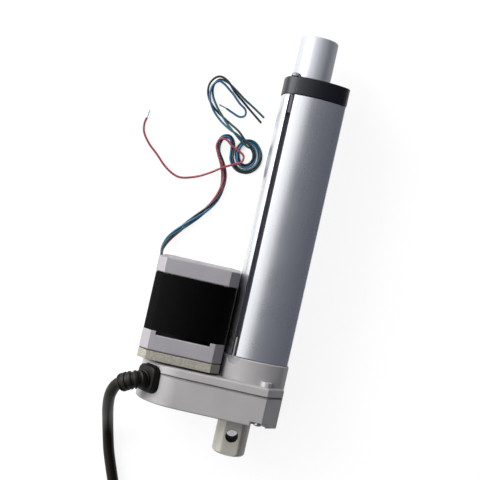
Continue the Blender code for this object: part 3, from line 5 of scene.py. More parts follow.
import bmesh
import bpy
import numpy as np
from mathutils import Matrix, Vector


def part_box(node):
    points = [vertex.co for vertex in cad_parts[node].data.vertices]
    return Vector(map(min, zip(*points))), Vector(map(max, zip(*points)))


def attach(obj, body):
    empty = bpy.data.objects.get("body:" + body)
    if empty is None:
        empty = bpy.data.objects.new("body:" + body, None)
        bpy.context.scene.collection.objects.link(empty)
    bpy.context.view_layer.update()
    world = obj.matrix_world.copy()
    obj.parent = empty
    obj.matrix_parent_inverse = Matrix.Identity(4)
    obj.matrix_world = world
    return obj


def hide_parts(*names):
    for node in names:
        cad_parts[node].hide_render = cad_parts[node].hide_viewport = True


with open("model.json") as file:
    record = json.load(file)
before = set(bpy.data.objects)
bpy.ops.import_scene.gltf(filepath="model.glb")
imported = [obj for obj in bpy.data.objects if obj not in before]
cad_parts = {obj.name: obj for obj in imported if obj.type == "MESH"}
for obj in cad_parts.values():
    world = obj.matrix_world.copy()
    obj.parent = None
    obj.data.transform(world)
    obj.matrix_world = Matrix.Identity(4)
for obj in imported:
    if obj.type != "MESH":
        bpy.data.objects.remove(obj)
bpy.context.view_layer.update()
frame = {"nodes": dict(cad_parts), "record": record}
scene = bpy.context.scene
MM = 0.001


# Gearbox cover
# The lower half of the gearbox, a die-cast aluminium shell, bead blasted so that it has no shine.
# Four screws from below pull it against the housing, with a fine dark parting line between them.
CASTING_EDGE = 0.35 * MM
MERGE_REACH = 0.002 * MM
FLAT_ANGLE = math.radians(0.5)
SHARP_ANGLE = math.radians(34)
SHORTEST_ROUNDED = 2.5   # in widths of the rounding
EDGE_SEGMENTS = 2


def colour(code):
    """An sRGB hex colour as linear red, green, blue and alpha."""
    shares = [int(code[i:i + 2], 16) / 255 for i in (1, 3, 5)]
    return [s / 12.92 if s <= 0.04045 else ((s + 0.055) / 1.055) ** 2.4 for s in shares] + [1.0]


def per(size_mm):
    """The texture scale at which one cell of a pattern is this many millimetres."""
    return 1 / (size_mm * MM)


def add_node(tree, kind, sockets=None, **settings):
    """Adds a node with its settings. A socket takes a plain value, or a link from another node."""
    made = tree.nodes.new(kind)
    for name, value in settings.items():
        setattr(made, name, value)
    for name, value in (sockets or {}).items():
        if isinstance(value, bpy.types.NodeSocket):
            tree.links.new(value, made.inputs[name])
        else:
            made.inputs[name].default_value = value
    return made


def new_material(name, **plain):
    """A material with one Principled shader, its plain socket values, and the object's own coordinates."""
    made = bpy.data.materials.new(name)
    made.use_nodes = True
    tree = made.node_tree
    for socket, value in plain.items():
        tree.nodes["Principled BSDF"].inputs[socket.replace("_", " ")].default_value = value
    place = add_node(tree, "ShaderNodeTexCoord").outputs["Object"]
    return made, tree, place


def patterned(made, pattern, tones=None, rough=None, relief=None):
    """Lets a pattern set a finish's colour (dark, light), its roughness (low, high) or its relief
    (strength, millimetres). A Mix node takes colours at its sockets 6 and 7, and gives one at 2."""
    tree = made.node_tree
    shader = tree.nodes["Principled BSDF"].inputs
    if tones:
        tone = add_node(tree, "ShaderNodeMix", {
            0: pattern, 6: colour(tones[0]), 7: colour(tones[1])}, data_type="RGBA")
        tree.links.new(tone.outputs[2], shader["Base Color"])
    if rough:
        shine = add_node(tree, "ShaderNodeMapRange", {
            "Value": pattern, "To Min": rough[0], "To Max": rough[1]})
        tree.links.new(shine.outputs[0], shader["Roughness"])
    if relief:
        bump = add_node(tree, "ShaderNodeBump", {
            "Height": pattern, "Strength": relief[0], "Distance": relief[1] * MM})
        tree.links.new(bump.outputs[0], shader["Normal"])


def die_cast_aluminium(name, dark, light, grain_mm):
    """Blasted casting: a soft silver grey, cloudy where the melt cooled, with a fine even grain that
    is drawn coarser than the real one, so that it shows."""
    made, tree, place = new_material(name, Metallic=0.2)
    clouds = add_node(tree, "ShaderNodeTexNoise", {"Vector": place, "Scale": per(11.0), "Detail": 4.0})
    grain = add_node(tree, "ShaderNodeTexNoise", {"Vector": place, "Scale": per(grain_mm), "Detail": 3.0})
    patterned(made, clouds.outputs["Fac"], tones=(dark, light))
    patterned(made, grain.outputs["Fac"], rough=(0.42, 0.54), relief=(0.3, 0.08))
    return made


def linked(name, data):
    """Puts a mesh, curve, lamp or camera into the scene, as an object at the origin."""
    made = bpy.data.objects.new(name, data)
    scene.collection.objects.link(made)
    return made


def mesh_from(shape, name):
    """A mesh with the faces of a bmesh shape, which is freed."""
    mesh = bpy.data.meshes.new(name)
    shape.to_mesh(mesh)
    shape.free()
    return mesh


def finished(maker):
    """The plain mesh that an object's modifiers make, in an object of the same name. The maker goes."""
    graph = bpy.context.evaluated_depsgraph_get()
    mesh = bpy.data.meshes.new_from_object(
        maker.evaluated_get(graph), preserve_all_data_layers=True, depsgraph=graph)
    name = maker.name
    bpy.data.objects.remove(maker)
    mesh.name = name
    return linked(name, mesh)


def fit(piece, slot, *nodes, body="frame"):
    """Puts a piece on its body in place of the frame's own nodes. The finish slot it is given is not used."""
    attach(piece, body)
    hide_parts(*nodes)
    return piece


def dressed(node, name, edge, look, slot, reshape=None):
    """A copy of a frame piece in its place, its facets merged and its sharp outer edges rounded."""
    shape = bmesh.new()
    shape.from_mesh(frame["nodes"][node].data)
    bmesh.ops.remove_doubles(shape, verts=shape.verts, dist=MERGE_REACH)
    bmesh.ops.dissolve_limit(shape, angle_limit=FLAT_ANGLE, verts=shape.verts, edges=shape.edges)
    if reshape:
        reshape(shape)
    weight = shape.edges.layers.float.new("bevel_weight_edge")
    for side in shape.edges:
        side.smooth = True
        if len(side.link_faces) == 2 and side.calc_face_angle() > SHARP_ANGLE:
            rounded = side.is_convex and side.calc_length() > SHORTEST_ROUNDED * edge
            side[weight] = 1.0 if rounded else 0.0
            side.smooth = rounded
    for face in shape.faces:
        face.smooth = True
        face.material_index = 0
    maker = linked(name, mesh_from(shape, name))
    maker.data.materials.append(look)
    bevel = maker.modifiers.new("edges", "BEVEL")
    bevel.limit_method = "WEIGHT"
    bevel.width = edge
    bevel.segments = EDGE_SEGMENTS
    bevel.use_clamp_overlap = False
    normals = maker.modifiers.new("normals", "WEIGHTED_NORMAL")
    normals.keep_sharp = True
    return fit(finished(maker), slot, node)


CASTING = die_cast_aluminium("die_cast_aluminium", "#a5a2a2", "#b7b4b4", 0.45)
dressed("gearbox_cover", "gearbox_cover_casting", CASTING_EDGE, CASTING, "die_cast_aluminium")


# Rear clevis
# A turned steel eye with two milled flats and a cross hole for the bracket's pin. Its flange is
# held inside the cover, and its bore carries the tail of the lead screw in a bronze bush.
CLEVIS_EDGE = 0.3 * MM
PIN_HOLE_RADIUS = 3.2 * MM
PIN_HOLE_TO_END = 10.3 * MM
PIN_SHADE_REACH = PIN_HOLE_RADIUS + 0.05 * MM
SHADE_FADE = 0.1 * MM


def turned_steel(name, tones, streak_mm, roughness, metallic=1.0):
    """Turned or plated metal: fine rings about Y, coarse enough to show, break its highlight up."""
    made, tree, place = new_material(name, Metallic=metallic)
    rings = add_node(tree, "ShaderNodeMapping", {"Vector": place, "Scale": (0.06, 1.0, 0.06)})
    marks = add_node(tree, "ShaderNodeTexNoise", {
        "Vector": rings.outputs[0], "Scale": per(streak_mm), "Detail": 3.0})
    stain = add_node(tree, "ShaderNodeTexNoise", {"Vector": place, "Scale": per(5.0), "Detail": 3.0})
    patterned(made, stain.outputs["Fac"], tones=tones)
    patterned(made, marks.outputs["Fac"], rough=(roughness - 0.08, roughness + 0.08), relief=(0.15, 0.03))
    return made


def painted_recess_shade(look, tone, centre, axes, reach):
    """Painted shade about a line: a dark tone within a reach of it, on the axes given, where the finish is
    also made dull.
    """
    tree = look.node_tree
    shader = tree.nodes["Principled BSDF"].inputs
    unshaded = shader["Base Color"].links[0].from_socket
    rough = shader["Roughness"].links[0].from_socket
    place = add_node(tree, "ShaderNodeTexCoord").outputs["Object"]
    across = add_node(tree, "ShaderNodeVectorMath", {0: place, 1: axes}, operation="MULTIPLY")
    apart = add_node(tree, "ShaderNodeVectorMath", {0: across.outputs[0], 1: centre}, operation="DISTANCE")
    share = add_node(tree, "ShaderNodeMapRange", {
        "Value": apart.outputs["Value"], "From Min": reach, "From Max": reach + SHADE_FADE})
    dark = add_node(tree, "ShaderNodeMix", {
        0: share.outputs[0], 6: colour(tone), 7: unshaded}, data_type="RGBA")
    dull = add_node(tree, "ShaderNodeMix", {0: share.outputs[0], 2: 1.0, 3: rough}, data_type="FLOAT")
    tree.links.new(dark.outputs[2], shader["Base Color"])
    tree.links.new(dull.outputs[0], shader["Roughness"])
    return look


# Bright steel for the shafts inside. The oiled steel of the clevis is warmer and duller to the eye.
STEEL = turned_steel("turned_steel", ("#b4b0a8", "#c9c6bf"), 0.35, 0.32)
OILED_STEEL = turned_steel("oiled_turned_steel", ("#aeaaa0", "#c0bcb1"), 0.35, 0.4, 0.12)
clevis_low, clevis_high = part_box("rear_clevis")
pin_axis = ((clevis_low.x + clevis_high.x) / 2, clevis_low.y + PIN_HOLE_TO_END, 0.0)
# Painted shade darkens the wall of the pin hole, and the finish there is made dull.
CLEVIS_LOOK = painted_recess_shade(OILED_STEEL, "#1c1910", pin_axis, (1, 1, 0), PIN_SHADE_REACH)
dressed("rear_clevis", "rear_clevis_eye", CLEVIS_EDGE, CLEVIS_LOOK, "turned_steel")


def finish_nodes(look, *nodes):
    """Gives frame pieces that stay as they are their finish."""
    for node in nodes:
        for place in frame["nodes"][node].material_slots:
            place.material = look


def sintered_bronze():
    """Oil-filled sintered bronze: a dull brown gold, speckled by its pores."""
    made, tree, place = new_material("sintered_bronze", Metallic=1.0, Roughness=0.42)
    pores = add_node(tree, "ShaderNodeTexNoise", {"Vector": place, "Scale": per(0.3), "Detail": 2.0})
    patterned(made, pores.outputs["Fac"], tones=("#7a5a30", "#b98f55"))
    return made


finish_nodes(sintered_bronze(), "rear_bush")


# Gear train and lead screw
# Moulded acetal gears take the motor's turn to the screw, over an idler on a steel pin. The screw
# runs in a shielded bearing under the collar. All of it is closed in by the castings.
def acetal():
    """Moulded acetal: milky ivory, slightly waxy, with a soft sheen."""
    made, tree, place = new_material("acetal", Roughness=0.4)
    milk = add_node(tree, "ShaderNodeTexNoise", {"Vector": place, "Scale": per(4.0), "Detail": 2.0})
    patterned(made, milk.outputs["Fac"], tones=("#ddd8c9", "#ebe7db"))
    return made


finish_nodes(acetal(), "screw_gear", "idler_gear", "motor_pinion", "drive_nut", "guide_bush")
finish_nodes(STEEL, "idler_pin", "lead_screw", "screw_bearing", "screw_spacer", "gear_clip")


# Gearbox housing
# The upper half of the gearbox with the collar that holds the tube, cast in one piece. A round boss
# on the ledge takes a cover screw, and a scoop in the collar clears the end of the tube's groove.
dressed("gearbox_housing", "gearbox_housing_casting", CASTING_EDGE, CASTING, "die_cast_aluminium")


# Screws
# Pan-headed machine screws with a cross recess, zinc plated, and grey phosphated on the front cap.
# They hold the cover, the tube, the cap and the motor, each turned to an angle of its own.
HEAD_RADIUS = 2.5 * MM
HEAD_HEIGHT = 2.0 * MM
HEAD_RIM = 0.8 * MM
CROWN_STEPS = 6
SHANK_RADIUS = 1.25 * MM
POINT_RADIUS = 0.7 * SHANK_RADIUS
POINT_LENGTH = 0.4 * SHANK_RADIUS
RECESS_WIDTH = 0.75 * MM
RECESS_REACH = 1.5 * MM
RECESS_DEPTH = 1.1 * MM
RECESS_TAPER = 0.6
SCREW_STEPS = 32
SPIN_SEED = 5


def circle(steps):
    """Angles at even steps round a circle."""
    return [2 * math.pi * i / steps for i in range(steps)]


def lathe(name, profile, steps, look):
    """A profile of (radius, height) points turned about Z. A radius of nothing is a pole."""
    shape = bmesh.new()
    rings = []
    for radius, height in profile:
        turns = circle(steps) if radius > 0 else [0]
        rings.append([shape.verts.new((radius * math.cos(a), radius * math.sin(a), height)) for a in turns])
    for low, high in zip(rings, rings[1:] + rings[:1]):
        for i in range(steps):
            corners = []
            for ring, step in ((low, i), (low, i + 1), (high, i + 1), (high, i)):
                vertex = ring[step % len(ring)]
                if vertex not in corners:
                    corners.append(vertex)
            if len(corners) > 2:
                shape.faces.new(corners)
    bmesh.ops.recalc_face_normals(shape, faces=shape.faces)
    mesh = mesh_from(shape, name)
    mesh.materials.append(look)
    mesh.shade_smooth()
    mesh.set_sharp_from_angle(angle=SHARP_ANGLE)
    return mesh


def pan_head_screw(length, look):
    """A screw along Z, its head's seat at the origin, with a cross cut into the head."""
    bow = [math.radians(90 * i / CROWN_STEPS) for i in range(CROWN_STEPS)]
    crown = [(HEAD_RADIUS * math.cos(a), HEAD_RIM + (HEAD_HEIGHT - HEAD_RIM) * math.sin(a)) for a in bow]
    profile = [(0, -length), (POINT_RADIUS, -length), (SHANK_RADIUS, -length + POINT_LENGTH),
               (SHANK_RADIUS, 0), (HEAD_RADIUS, 0)] + crown + [(0, HEAD_HEIGHT)]
    screw = linked("screw_pattern", lathe("screw_pattern", profile, SCREW_STEPS, look))
    cross = bmesh.new()
    for across, along in ((RECESS_REACH, RECESS_WIDTH / 2), (RECESS_WIDTH / 2, RECESS_REACH)):
        for vertex in bmesh.ops.create_cube(cross, size=2)["verts"]:
            taper = 1.0 if vertex.co.z > 0 else RECESS_TAPER
            vertex.co.x *= across * taper
            vertex.co.y *= along
            vertex.co.z = HEAD_HEIGHT + vertex.co.z * RECESS_DEPTH
    cutter = linked("cross_recess", mesh_from(cross, "cross_recess"))
    cut = screw.modifiers.new("recess", "BOOLEAN")
    cut.object = cutter
    cut.use_self = True
    screw = finished(screw)
    bpy.data.objects.remove(cutter)
    return screw


def new_tree(name, result, **inputs):
    """A geometry tree with its named inputs, each given a kind of socket, and its one result."""
    tree = bpy.data.node_groups.new(name, "GeometryNodeTree")
    for label, kind in inputs.items():
        tree.interface.new_socket(label.replace("_", " "), in_out="INPUT", socket_type=f"NodeSocket{kind}")
    tree.interface.new_socket(result, in_out="OUTPUT", socket_type="NodeSocketGeometry")
    return tree, add_node(tree, "NodeGroupInput").outputs


def closed_tree(tree, geometry, look):
    """Ends a tree: what it lays out becomes real faces with their finish."""
    real = add_node(tree, "GeometryNodeRealizeInstances", {"Geometry": geometry})
    looked = add_node(tree, "GeometryNodeSetMaterial", {"Geometry": real.outputs[0], "Material": look})
    add_node(tree, "NodeGroupOutput", {0: looked.outputs[0]})
    return tree


def copies_tree():
    """Geometry nodes: a pattern piece on every point, turned to an axis and spun by a seeded angle."""
    tree, given = new_tree(
        "copies_on_points", "Copies", Points="Geometry", Pattern="Object", Axis_Turn="Rotation",
        Look="Material")
    pattern = add_node(tree, "GeometryNodeObjectInfo", {"Object": given["Pattern"]})
    spots = add_node(tree, "GeometryNodeMeshToPoints", {"Mesh": given["Points"]})
    placed = add_node(tree, "GeometryNodeInstanceOnPoints", {
        "Points": spots.outputs[0], "Instance": pattern.outputs["Geometry"], "Rotation": given["Axis Turn"]})
    spin = add_node(tree, "FunctionNodeRandomValue", {"Max": (0.0, 0.0, 2 * math.pi), "Seed": SPIN_SEED},
                    data_type="FLOAT_VECTOR")
    turned = add_node(tree, "GeometryNodeRotateInstances", {
        "Instances": placed.outputs[0], "Rotation": spin.outputs[0], "Local Space": True})
    return closed_tree(tree, turned.outputs[0], given["Look"])


def run_tree(maker, tree, **values):
    """Runs a node tree on an object, with its named inputs, and leaves a plain mesh."""
    step = maker.modifiers.new(tree.name, "NODES")
    step.node_group = tree
    for item in tree.interface.items_tree:
        key = item.name.lower().replace(" ", "_")
        if item.in_out == "INPUT" and key in values:
            step[item.identifier] = values[key]
    return finished(maker)


COPIES = copies_tree()


def screw_set(name, nodes, heads_up_rod, look):
    """The screws of one set, in place of their nodes: heads towards +Y, or else towards -Y."""
    seats = []
    for node in nodes:
        low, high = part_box(node)
        middle = (low + high) / 2
        seat = high.y - HEAD_HEIGHT if heads_up_rod else low.y + HEAD_HEIGHT
        seats.append((middle.x, seat, middle.z))
    length = high.y - low.y - HEAD_HEIGHT
    pattern = pan_head_screw(length, look)
    points = bpy.data.meshes.new(name)
    points.from_pydata(seats, [], [])
    turn = -math.pi / 2 if heads_up_rod else math.pi / 2
    made = run_tree(linked(name, points), COPIES, pattern=pattern, axis_turn=(turn, 0, 0), look=look)
    bpy.data.objects.remove(pattern)
    return fit(made, "turned_steel", *nodes)


# Zinc is bright and cool, with a patchy highlight. Phosphate is an even, dull mid grey.
ZINC = turned_steel("zinc_plated_steel", ("#a9aaa6", "#cfd0cc"), 0.6, 0.34)
PHOSPHATED = turned_steel("grey_phosphated_steel", ("#7c7c85", "#8f8f98"), 0.6, 0.5, 0.2)
screw_set("cover_screws_right", ["cover_screw_1", "cover_screw_2"], False, ZINC)
screw_set("cover_screws_left", ["cover_screw_3", "cover_screw_4"], False, ZINC)
screw_set("tube_screws", [f"tube_screw_{i}" for i in range(1, 5)], False, ZINC)


# Outer tube
# An extruded aluminium tube, satin anodised clear, with an open screw groove along its left lobe.
# Faint die lines run its whole length. It stands in the collar, pulled down by four screws.
TUBE_EDGE = 0.15 * MM
FRAME_CORNER = 1.2 * MM
TUBE_CORNER = 0.3 * MM
ARCH_RADIUS = 30.0 * MM
ARCH_X = 2.0 * MM
GROOVE_X = -8.4 * MM
GROOVE_HALF_WIDTH = 1.3 * MM
SAME_PLACE = 0.01 * MM
joints = frame["record"]["behaviour"]["joints"]
ROD_AXIS = Vector(next(joint["pos_m"] for joint in joints if joint["name"] == "screw_spin"))


def anodised_aluminium(name, dark, light, stretch, line_mm, roughness, metallic, gloss=0.5):
    """Clear satin anodising: cool, silky and pale, with fine lines along the way it was drawn."""
    made, tree, place = new_material(name, Metallic=metallic, Specular_IOR_Level=gloss)
    drawn = add_node(tree, "ShaderNodeMapping", {"Vector": place, "Scale": stretch})
    lines = add_node(tree, "ShaderNodeTexNoise", {
        "Vector": drawn.outputs[0], "Scale": per(line_mm), "Detail": 4.0})
    haze = add_node(tree, "ShaderNodeTexNoise", {"Vector": place, "Scale": per(18.0), "Detail": 3.0})
    patterned(made, lines.outputs["Fac"], tones=(dark, light), relief=(0.08, 0.03))
    patterned(made, haze.outputs["Fac"], rough=(roughness - 0.05, roughness + 0.05))
    return made


def crisp_corners(shape):
    """Draws the frame's wide right-hand corners out to the tight ones of an extrusion."""
    right = max(vertex.co.x for vertex in shape.verts)
    grown = FRAME_CORNER - TUBE_CORNER
    for vertex in shape.verts:
        side = math.copysign(1, vertex.co.z - ROD_AXIS.z)
        inset = right - vertex.co.x
        if inset < SAME_PLACE:
            vertex.co.z += side * grown
        elif abs(inset - FRAME_CORNER) < SAME_PLACE:
            before = math.sqrt(ARCH_RADIUS ** 2 - (vertex.co.x - ARCH_X) ** 2)
            vertex.co.x += grown
            vertex.co.z += side * (math.sqrt(ARCH_RADIUS ** 2 - (vertex.co.x - ARCH_X) ** 2) - before)


# A band of painted shade darkens the tube along its screw groove, and the finish there is made dull.
TUBE_LOOK = painted_recess_shade(
    anodised_aluminium("satin_anodised_tube", "#d8dadf", "#e4e6ea", (1.0, 0.015, 1.0), 0.7, 0.28, 0.85),
    "#9796a2", (GROOVE_X, 0, 0), (1, 0, 0), GROOVE_HALF_WIDTH)
dressed("outer_tube", "outer_tube_extrusion", TUBE_EDGE, TUBE_LOOK, "anodised_aluminium", crisp_corners)


# Limit switches
# Two small switches on a strip of circuit board slide into the tube's side chamber, where the
# nut's key meets them at each end of the travel.
def solder_mask():
    """Glass-fibre board under green lacquer, glossy, with the weave just showing."""
    made, tree, place = new_material("solder_mask", Roughness=0.3)
    weave = add_node(tree, "ShaderNodeTexChecker", {
        "Vector": place, "Scale": per(0.8), "Color1": colour("#1c5a33"), "Color2": colour("#236a3d")})
    tree.links.new(weave.outputs["Color"], tree.nodes["Principled BSDF"].inputs["Base Color"])
    return made


def moulded_plastic(name, dark, light, grain_mm, roughness, gloss=0.5):
    """Moulded black plastic or rubber: a dark matt skin with the fine spark-eroded grain of its
    mould, which is drawn coarser than the real one, so that it shows."""
    made, tree, place = new_material(name, Specular_IOR_Level=gloss)
    grain = add_node(tree, "ShaderNodeTexNoise", {"Vector": place, "Scale": per(grain_mm), "Detail": 3.0})
    patterned(made, grain.outputs["Fac"], tones=(dark, light),
              rough=(roughness - 0.06, roughness + 0.06), relief=(0.2, 0.05))
    return made


SWITCH_LOOK = moulded_plastic("switch_plastic", "#1b1b1d", "#232326", 0.5, 0.45)
finish_nodes(solder_mask(), "limit_switch_strip")
finish_nodes(SWITCH_LOOK, "limit_switch_in", "limit_switch_out")


# Rod
# A drawn aluminium tube, ground round and anodised clear, with its end edge turned to a small
# radius. The steel insert in its end has a tapped hole for a rod end or a bracket.
ROD_EDGE = 0.8 * MM
ROD_EDGE_STEPS = 6
ROD_STEPS = 96
ROD_BORE_RADIUS = 6.8 * MM
ROD_BORE_EDGE = 0.2 * MM
INSERT_EDGE = 0.3 * MM
INSERT_HOLE_RADIUS = 3.4 * MM
INSERT_HOLE_DEPTH = 15.0 * MM
DRILL_POINT = 0.5 * INSERT_HOLE_RADIUS
THREAD_PITCH = 1.25 * MM
THREAD_DEPTH = 0.55 * MM
THREAD_ROWS = 10   # to one pitch
MOUTH_CHAMFER = 0.7 * MM


def along_rod(mesh):
    """Lays a shape turned about Z along the rod's axis, its heights becoming places along Y."""
    for vertex in mesh.vertices:
        x, y, z = vertex.co
        vertex.co = (ROD_AXIS.x - x, z, ROD_AXIS.z + y)
    return mesh


rod_low, rod_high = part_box("inner_rod")
rod_radius = (rod_high.x - rod_low.x) / 2
rod_profile = [(ROD_BORE_RADIUS, rod_low.y), (rod_radius, rod_low.y)]
for step in range(ROD_EDGE_STEPS + 1):
    turn = math.radians(90 * step / ROD_EDGE_STEPS)
    inset = ROD_EDGE * (1 - math.cos(turn))
    rod_profile.append((rod_radius - inset, rod_high.y - ROD_EDGE * (1 - math.sin(turn))))
rod_profile += [(ROD_BORE_RADIUS + ROD_BORE_EDGE, rod_high.y), (ROD_BORE_RADIUS, rod_high.y - ROD_BORE_EDGE)]
ROD_LOOK = anodised_aluminium(
    "ground_anodised_rod", "#b9bbc2", "#c3c5cc", (1.0, 0.03, 1.0), 0.5, 0.36, 0.2, gloss=0.2)
rod = linked("inner_rod_ground", along_rod(lathe("inner_rod_ground", rod_profile, ROD_STEPS, ROD_LOOK)))
fit(rod, "anodised_aluminium", "inner_rod", body="rod")


def tapped_insert():
    """A plug with a tapped hole: the hole's radius swells and shrinks along a helix."""
    low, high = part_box("rod_end_insert")
    outer = (high.x - low.x) / 2
    floor = high.y - INSERT_HOLE_DEPTH
    rows = round(INSERT_HOLE_DEPTH / THREAD_PITCH * THREAD_ROWS)
    profile = [(0, low.y), (outer, low.y), (outer, high.y - INSERT_EDGE), (outer - INSERT_EDGE, high.y)]
    profile += [(INSERT_HOLE_RADIUS + MOUTH_CHAMFER, high.y)]
    profile += [(INSERT_HOLE_RADIUS, high.y - INSERT_HOLE_DEPTH * i / rows) for i in range(1, rows)]
    profile += [(INSERT_HOLE_RADIUS, floor), (0, floor - DRILL_POINT)]
    mesh = lathe("rod_end_tapped_insert", profile, ROD_STEPS, STEEL)
    for vertex in mesh.vertices:
        depth = high.y - vertex.co.z
        radius = math.hypot(vertex.co.x, vertex.co.y)
        if abs(radius - INSERT_HOLE_RADIUS) < SAME_PLACE and 0 < depth < INSERT_HOLE_DEPTH - THREAD_PITCH:
            turn = math.atan2(vertex.co.y, vertex.co.x) / (2 * math.pi)
            wave = abs(((depth / THREAD_PITCH + turn) % 1) * 2 - 1)
            mouth = max(0, MOUTH_CHAMFER - depth)
            grown = (radius + max(THREAD_DEPTH * wave, mouth)) / radius
            vertex.co.x *= grown
            vertex.co.y *= grown
    return along_rod(mesh)


fit(linked("rod_end_tapped_insert", tapped_insert()), "turned_steel", "rod_end_insert", body="rod")


# Front cap
# A black moulded cap closes the tube and guides the rod, held by four phosphated screws in the
# tube's ports. A soft wiper ring in its mouth keeps dirt off the rod.
CAP_EDGE = 0.3 * MM
WIPER_LIP = 0.35 * MM
WIPER_PLAY = 0.4 * MM
CAP_LOOK = moulded_plastic("moulded_cap_plastic", "#101218", "#181a21", 0.6, 0.4, 0.38)
dressed("front_cap", "front_cap_moulding", CAP_EDGE, CAP_LOOK, "black_plastic")
screw_set("cap_screws_front", ["cap_screw_1", "cap_screw_2"], True, PHOSPHATED)
screw_set("cap_screws_sunk", ["cap_screw_3", "cap_screw_4"], True, PHOSPHATED)

wiper_low, wiper_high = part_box("rod_wiper")
wiper_outer = (wiper_high.x - wiper_low.x) / 2
wiper_inner = rod_radius + WIPER_PLAY
wiper_middle = (wiper_inner + wiper_outer) / 2
wiper_profile = [
    (wiper_inner, wiper_low.y),
    (wiper_outer, wiper_low.y),
    (wiper_outer, wiper_high.y - WIPER_LIP),
    (wiper_outer - WIPER_LIP * 0.4, wiper_high.y - WIPER_LIP * 0.1),
    (wiper_middle, wiper_high.y),
    (wiper_inner + WIPER_LIP * 0.3, wiper_high.y - WIPER_LIP * 0.4),
    (wiper_inner, wiper_high.y - WIPER_LIP * 1.4),
]
RUBBER = moulded_plastic("wiper_rubber", "#1a1a1c", "#242427", 0.4, 0.6)
wiper = linked("rod_wiper_ring", along_rod(lathe("rod_wiper_ring", wiper_profile, ROD_STEPS, RUBBER)))
fit(wiper, "black_plastic", "rod_wiper")


# Motor
# A square stepper motor: two die-cast end caps with cut corners, a black-lacquered stack of steel
# sheets between them, and four long screws through it all. A sand-cast plate carries it.
CAP_CASTING_EDGE = 0.3 * MM
PLATE_EDGE = 0.25 * MM
SHEET_COUNT = 61
NOTCHED_SHEETS = 3
SHEET_GAP = 0.05 * MM
MOTOR_CORNER = 4.5 * MM
EAR_START = 13.6 * MM
STACK_BORE_RADIUS = 11.8 * MM
TIE_HOLE_RADIUS = 1.7 * MM
TIE_HOLE_PLACE = 15.5 * MM
HOLE_STEPS = 24


def sand_cast_aluminium():
    """Rough sand casting: warm grey, pitted and grainy, with pale and dark specks."""
    made, tree, place = new_material("sand_cast_aluminium", Metallic=0.35, Roughness=0.72)
    sand = add_node(tree, "ShaderNodeTexNoise", {
        "Vector": place, "Scale": per(0.7), "Detail": 5.0, "Roughness": 0.65})
    specks = add_node(tree, "ShaderNodeMapRange", {
        "Value": sand.outputs["Fac"], "From Min": 0.36, "From Max": 0.66})
    patterned(made, specks.outputs[0], tones=("#8a877c", "#b6b3a6"))
    patterned(made, sand.outputs["Fac"], relief=(0.5, 0.15))
    return made


def black_lacquer():
    """Lacquered steel sheets: near black, satin, with a little uneven gloss."""
    made, tree, place = new_material("black_lacquered_steel", Specular_IOR_Level=0.05)
    blotch = add_node(tree, "ShaderNodeTexNoise", {"Vector": place, "Scale": per(7.0), "Detail": 3.0})
    patterned(made, blotch.outputs["Fac"], tones=("#040303", "#090707"), rough=(0.42, 0.58))
    return made


def enamelled_copper():
    """Enamelled copper wire: a glossy red brown, with a painted highlight along each turn."""
    made, tree, place = new_material("enamelled_copper", Metallic=0.9, Roughness=0.3)
    turns = add_node(tree, "ShaderNodeTexWave", {"Vector": place, "Scale": per(2.0)}, bands_direction="Y")
    patterned(made, turns.outputs["Fac"], tones=("#6e3218", "#b8643a"))
    return made


def flat_sheet(name, outline, holes, thickness, middle):
    """A sheet that stands across Y about a middle, cut from an outline with round holes in it."""
    curve = bpy.data.curves.new(name, "CURVE")
    curve.dimensions = "2D"
    curve.fill_mode = "BOTH"
    curve.extrude = thickness / 2
    loops = [outline]
    for x, z, radius in holes:
        loops.append([(x + radius * math.cos(a), z + radius * math.sin(a)) for a in circle(HOLE_STEPS)])
    for loop in loops:
        spline = curve.splines.new("POLY")
        spline.points.add(len(loop) - 1)
        for point, (x, z) in zip(spline.points, loop):
            point.co = (x, z, 0, 1)
        spline.use_cyclic_u = True
    sheet = finished(linked(name, curve))
    shape = bmesh.new()
    shape.from_mesh(sheet.data)
    bmesh.ops.remove_doubles(shape, verts=shape.verts, dist=MERGE_REACH)
    bmesh.ops.recalc_face_normals(shape, faces=shape.faces)
    for vertex in shape.verts:
        x, y, z = vertex.co
        vertex.co = (middle.x + x, -z, middle.z + y)
    shape.to_mesh(sheet.data)
    shape.free()
    return sheet


def stack_tree():
    """Geometry nodes: sheets laid one on another along Y, the first few with notched corners."""
    tree, given = new_tree(
        "sheet_stack", "Stack", Start="Geometry", Sheet="Object", Notched_Sheet="Object", Sheets="Int",
        Notched="Int", First="Vector", Step="Vector", Look="Material")
    line = add_node(tree, "GeometryNodeMeshLine", {
        "Count": given["Sheets"], "Start Location": given["First"], "Offset": given["Step"]}, mode="OFFSET")
    number = add_node(tree, "GeometryNodeInputIndex")
    low = add_node(tree, "FunctionNodeCompare", {2: number.outputs[0], 3: given["Notched"]},
                   data_type="INT", operation="LESS_THAN")
    rest = add_node(tree, "FunctionNodeBooleanMath", {0: low.outputs[0]}, operation="NOT")
    both = add_node(tree, "GeometryNodeJoinGeometry")
    for label, chosen in (("Notched Sheet", low), ("Sheet", rest)):
        sheet = add_node(tree, "GeometryNodeObjectInfo", {"Object": given[label]})
        laid = add_node(tree, "GeometryNodeInstanceOnPoints", {
            "Points": line.outputs[0], "Selection": chosen.outputs[0], "Instance": sheet.outputs["Geometry"]})
        tree.links.new(laid.outputs[0], both.inputs[0])
    return closed_tree(tree, both.outputs[0], given["Look"])


MOTOR_CASTING = die_cast_aluminium("motor_cap_casting", "#99959a", "#a9a5aa", 0.4)
dressed("motor_adapter_plate", "motor_plate_casting", PLATE_EDGE, sand_cast_aluminium(), "sand_cast_plate")
dressed("motor_front_cap", "motor_front_casting", CAP_CASTING_EDGE, MOTOR_CASTING, "die_cast_aluminium")

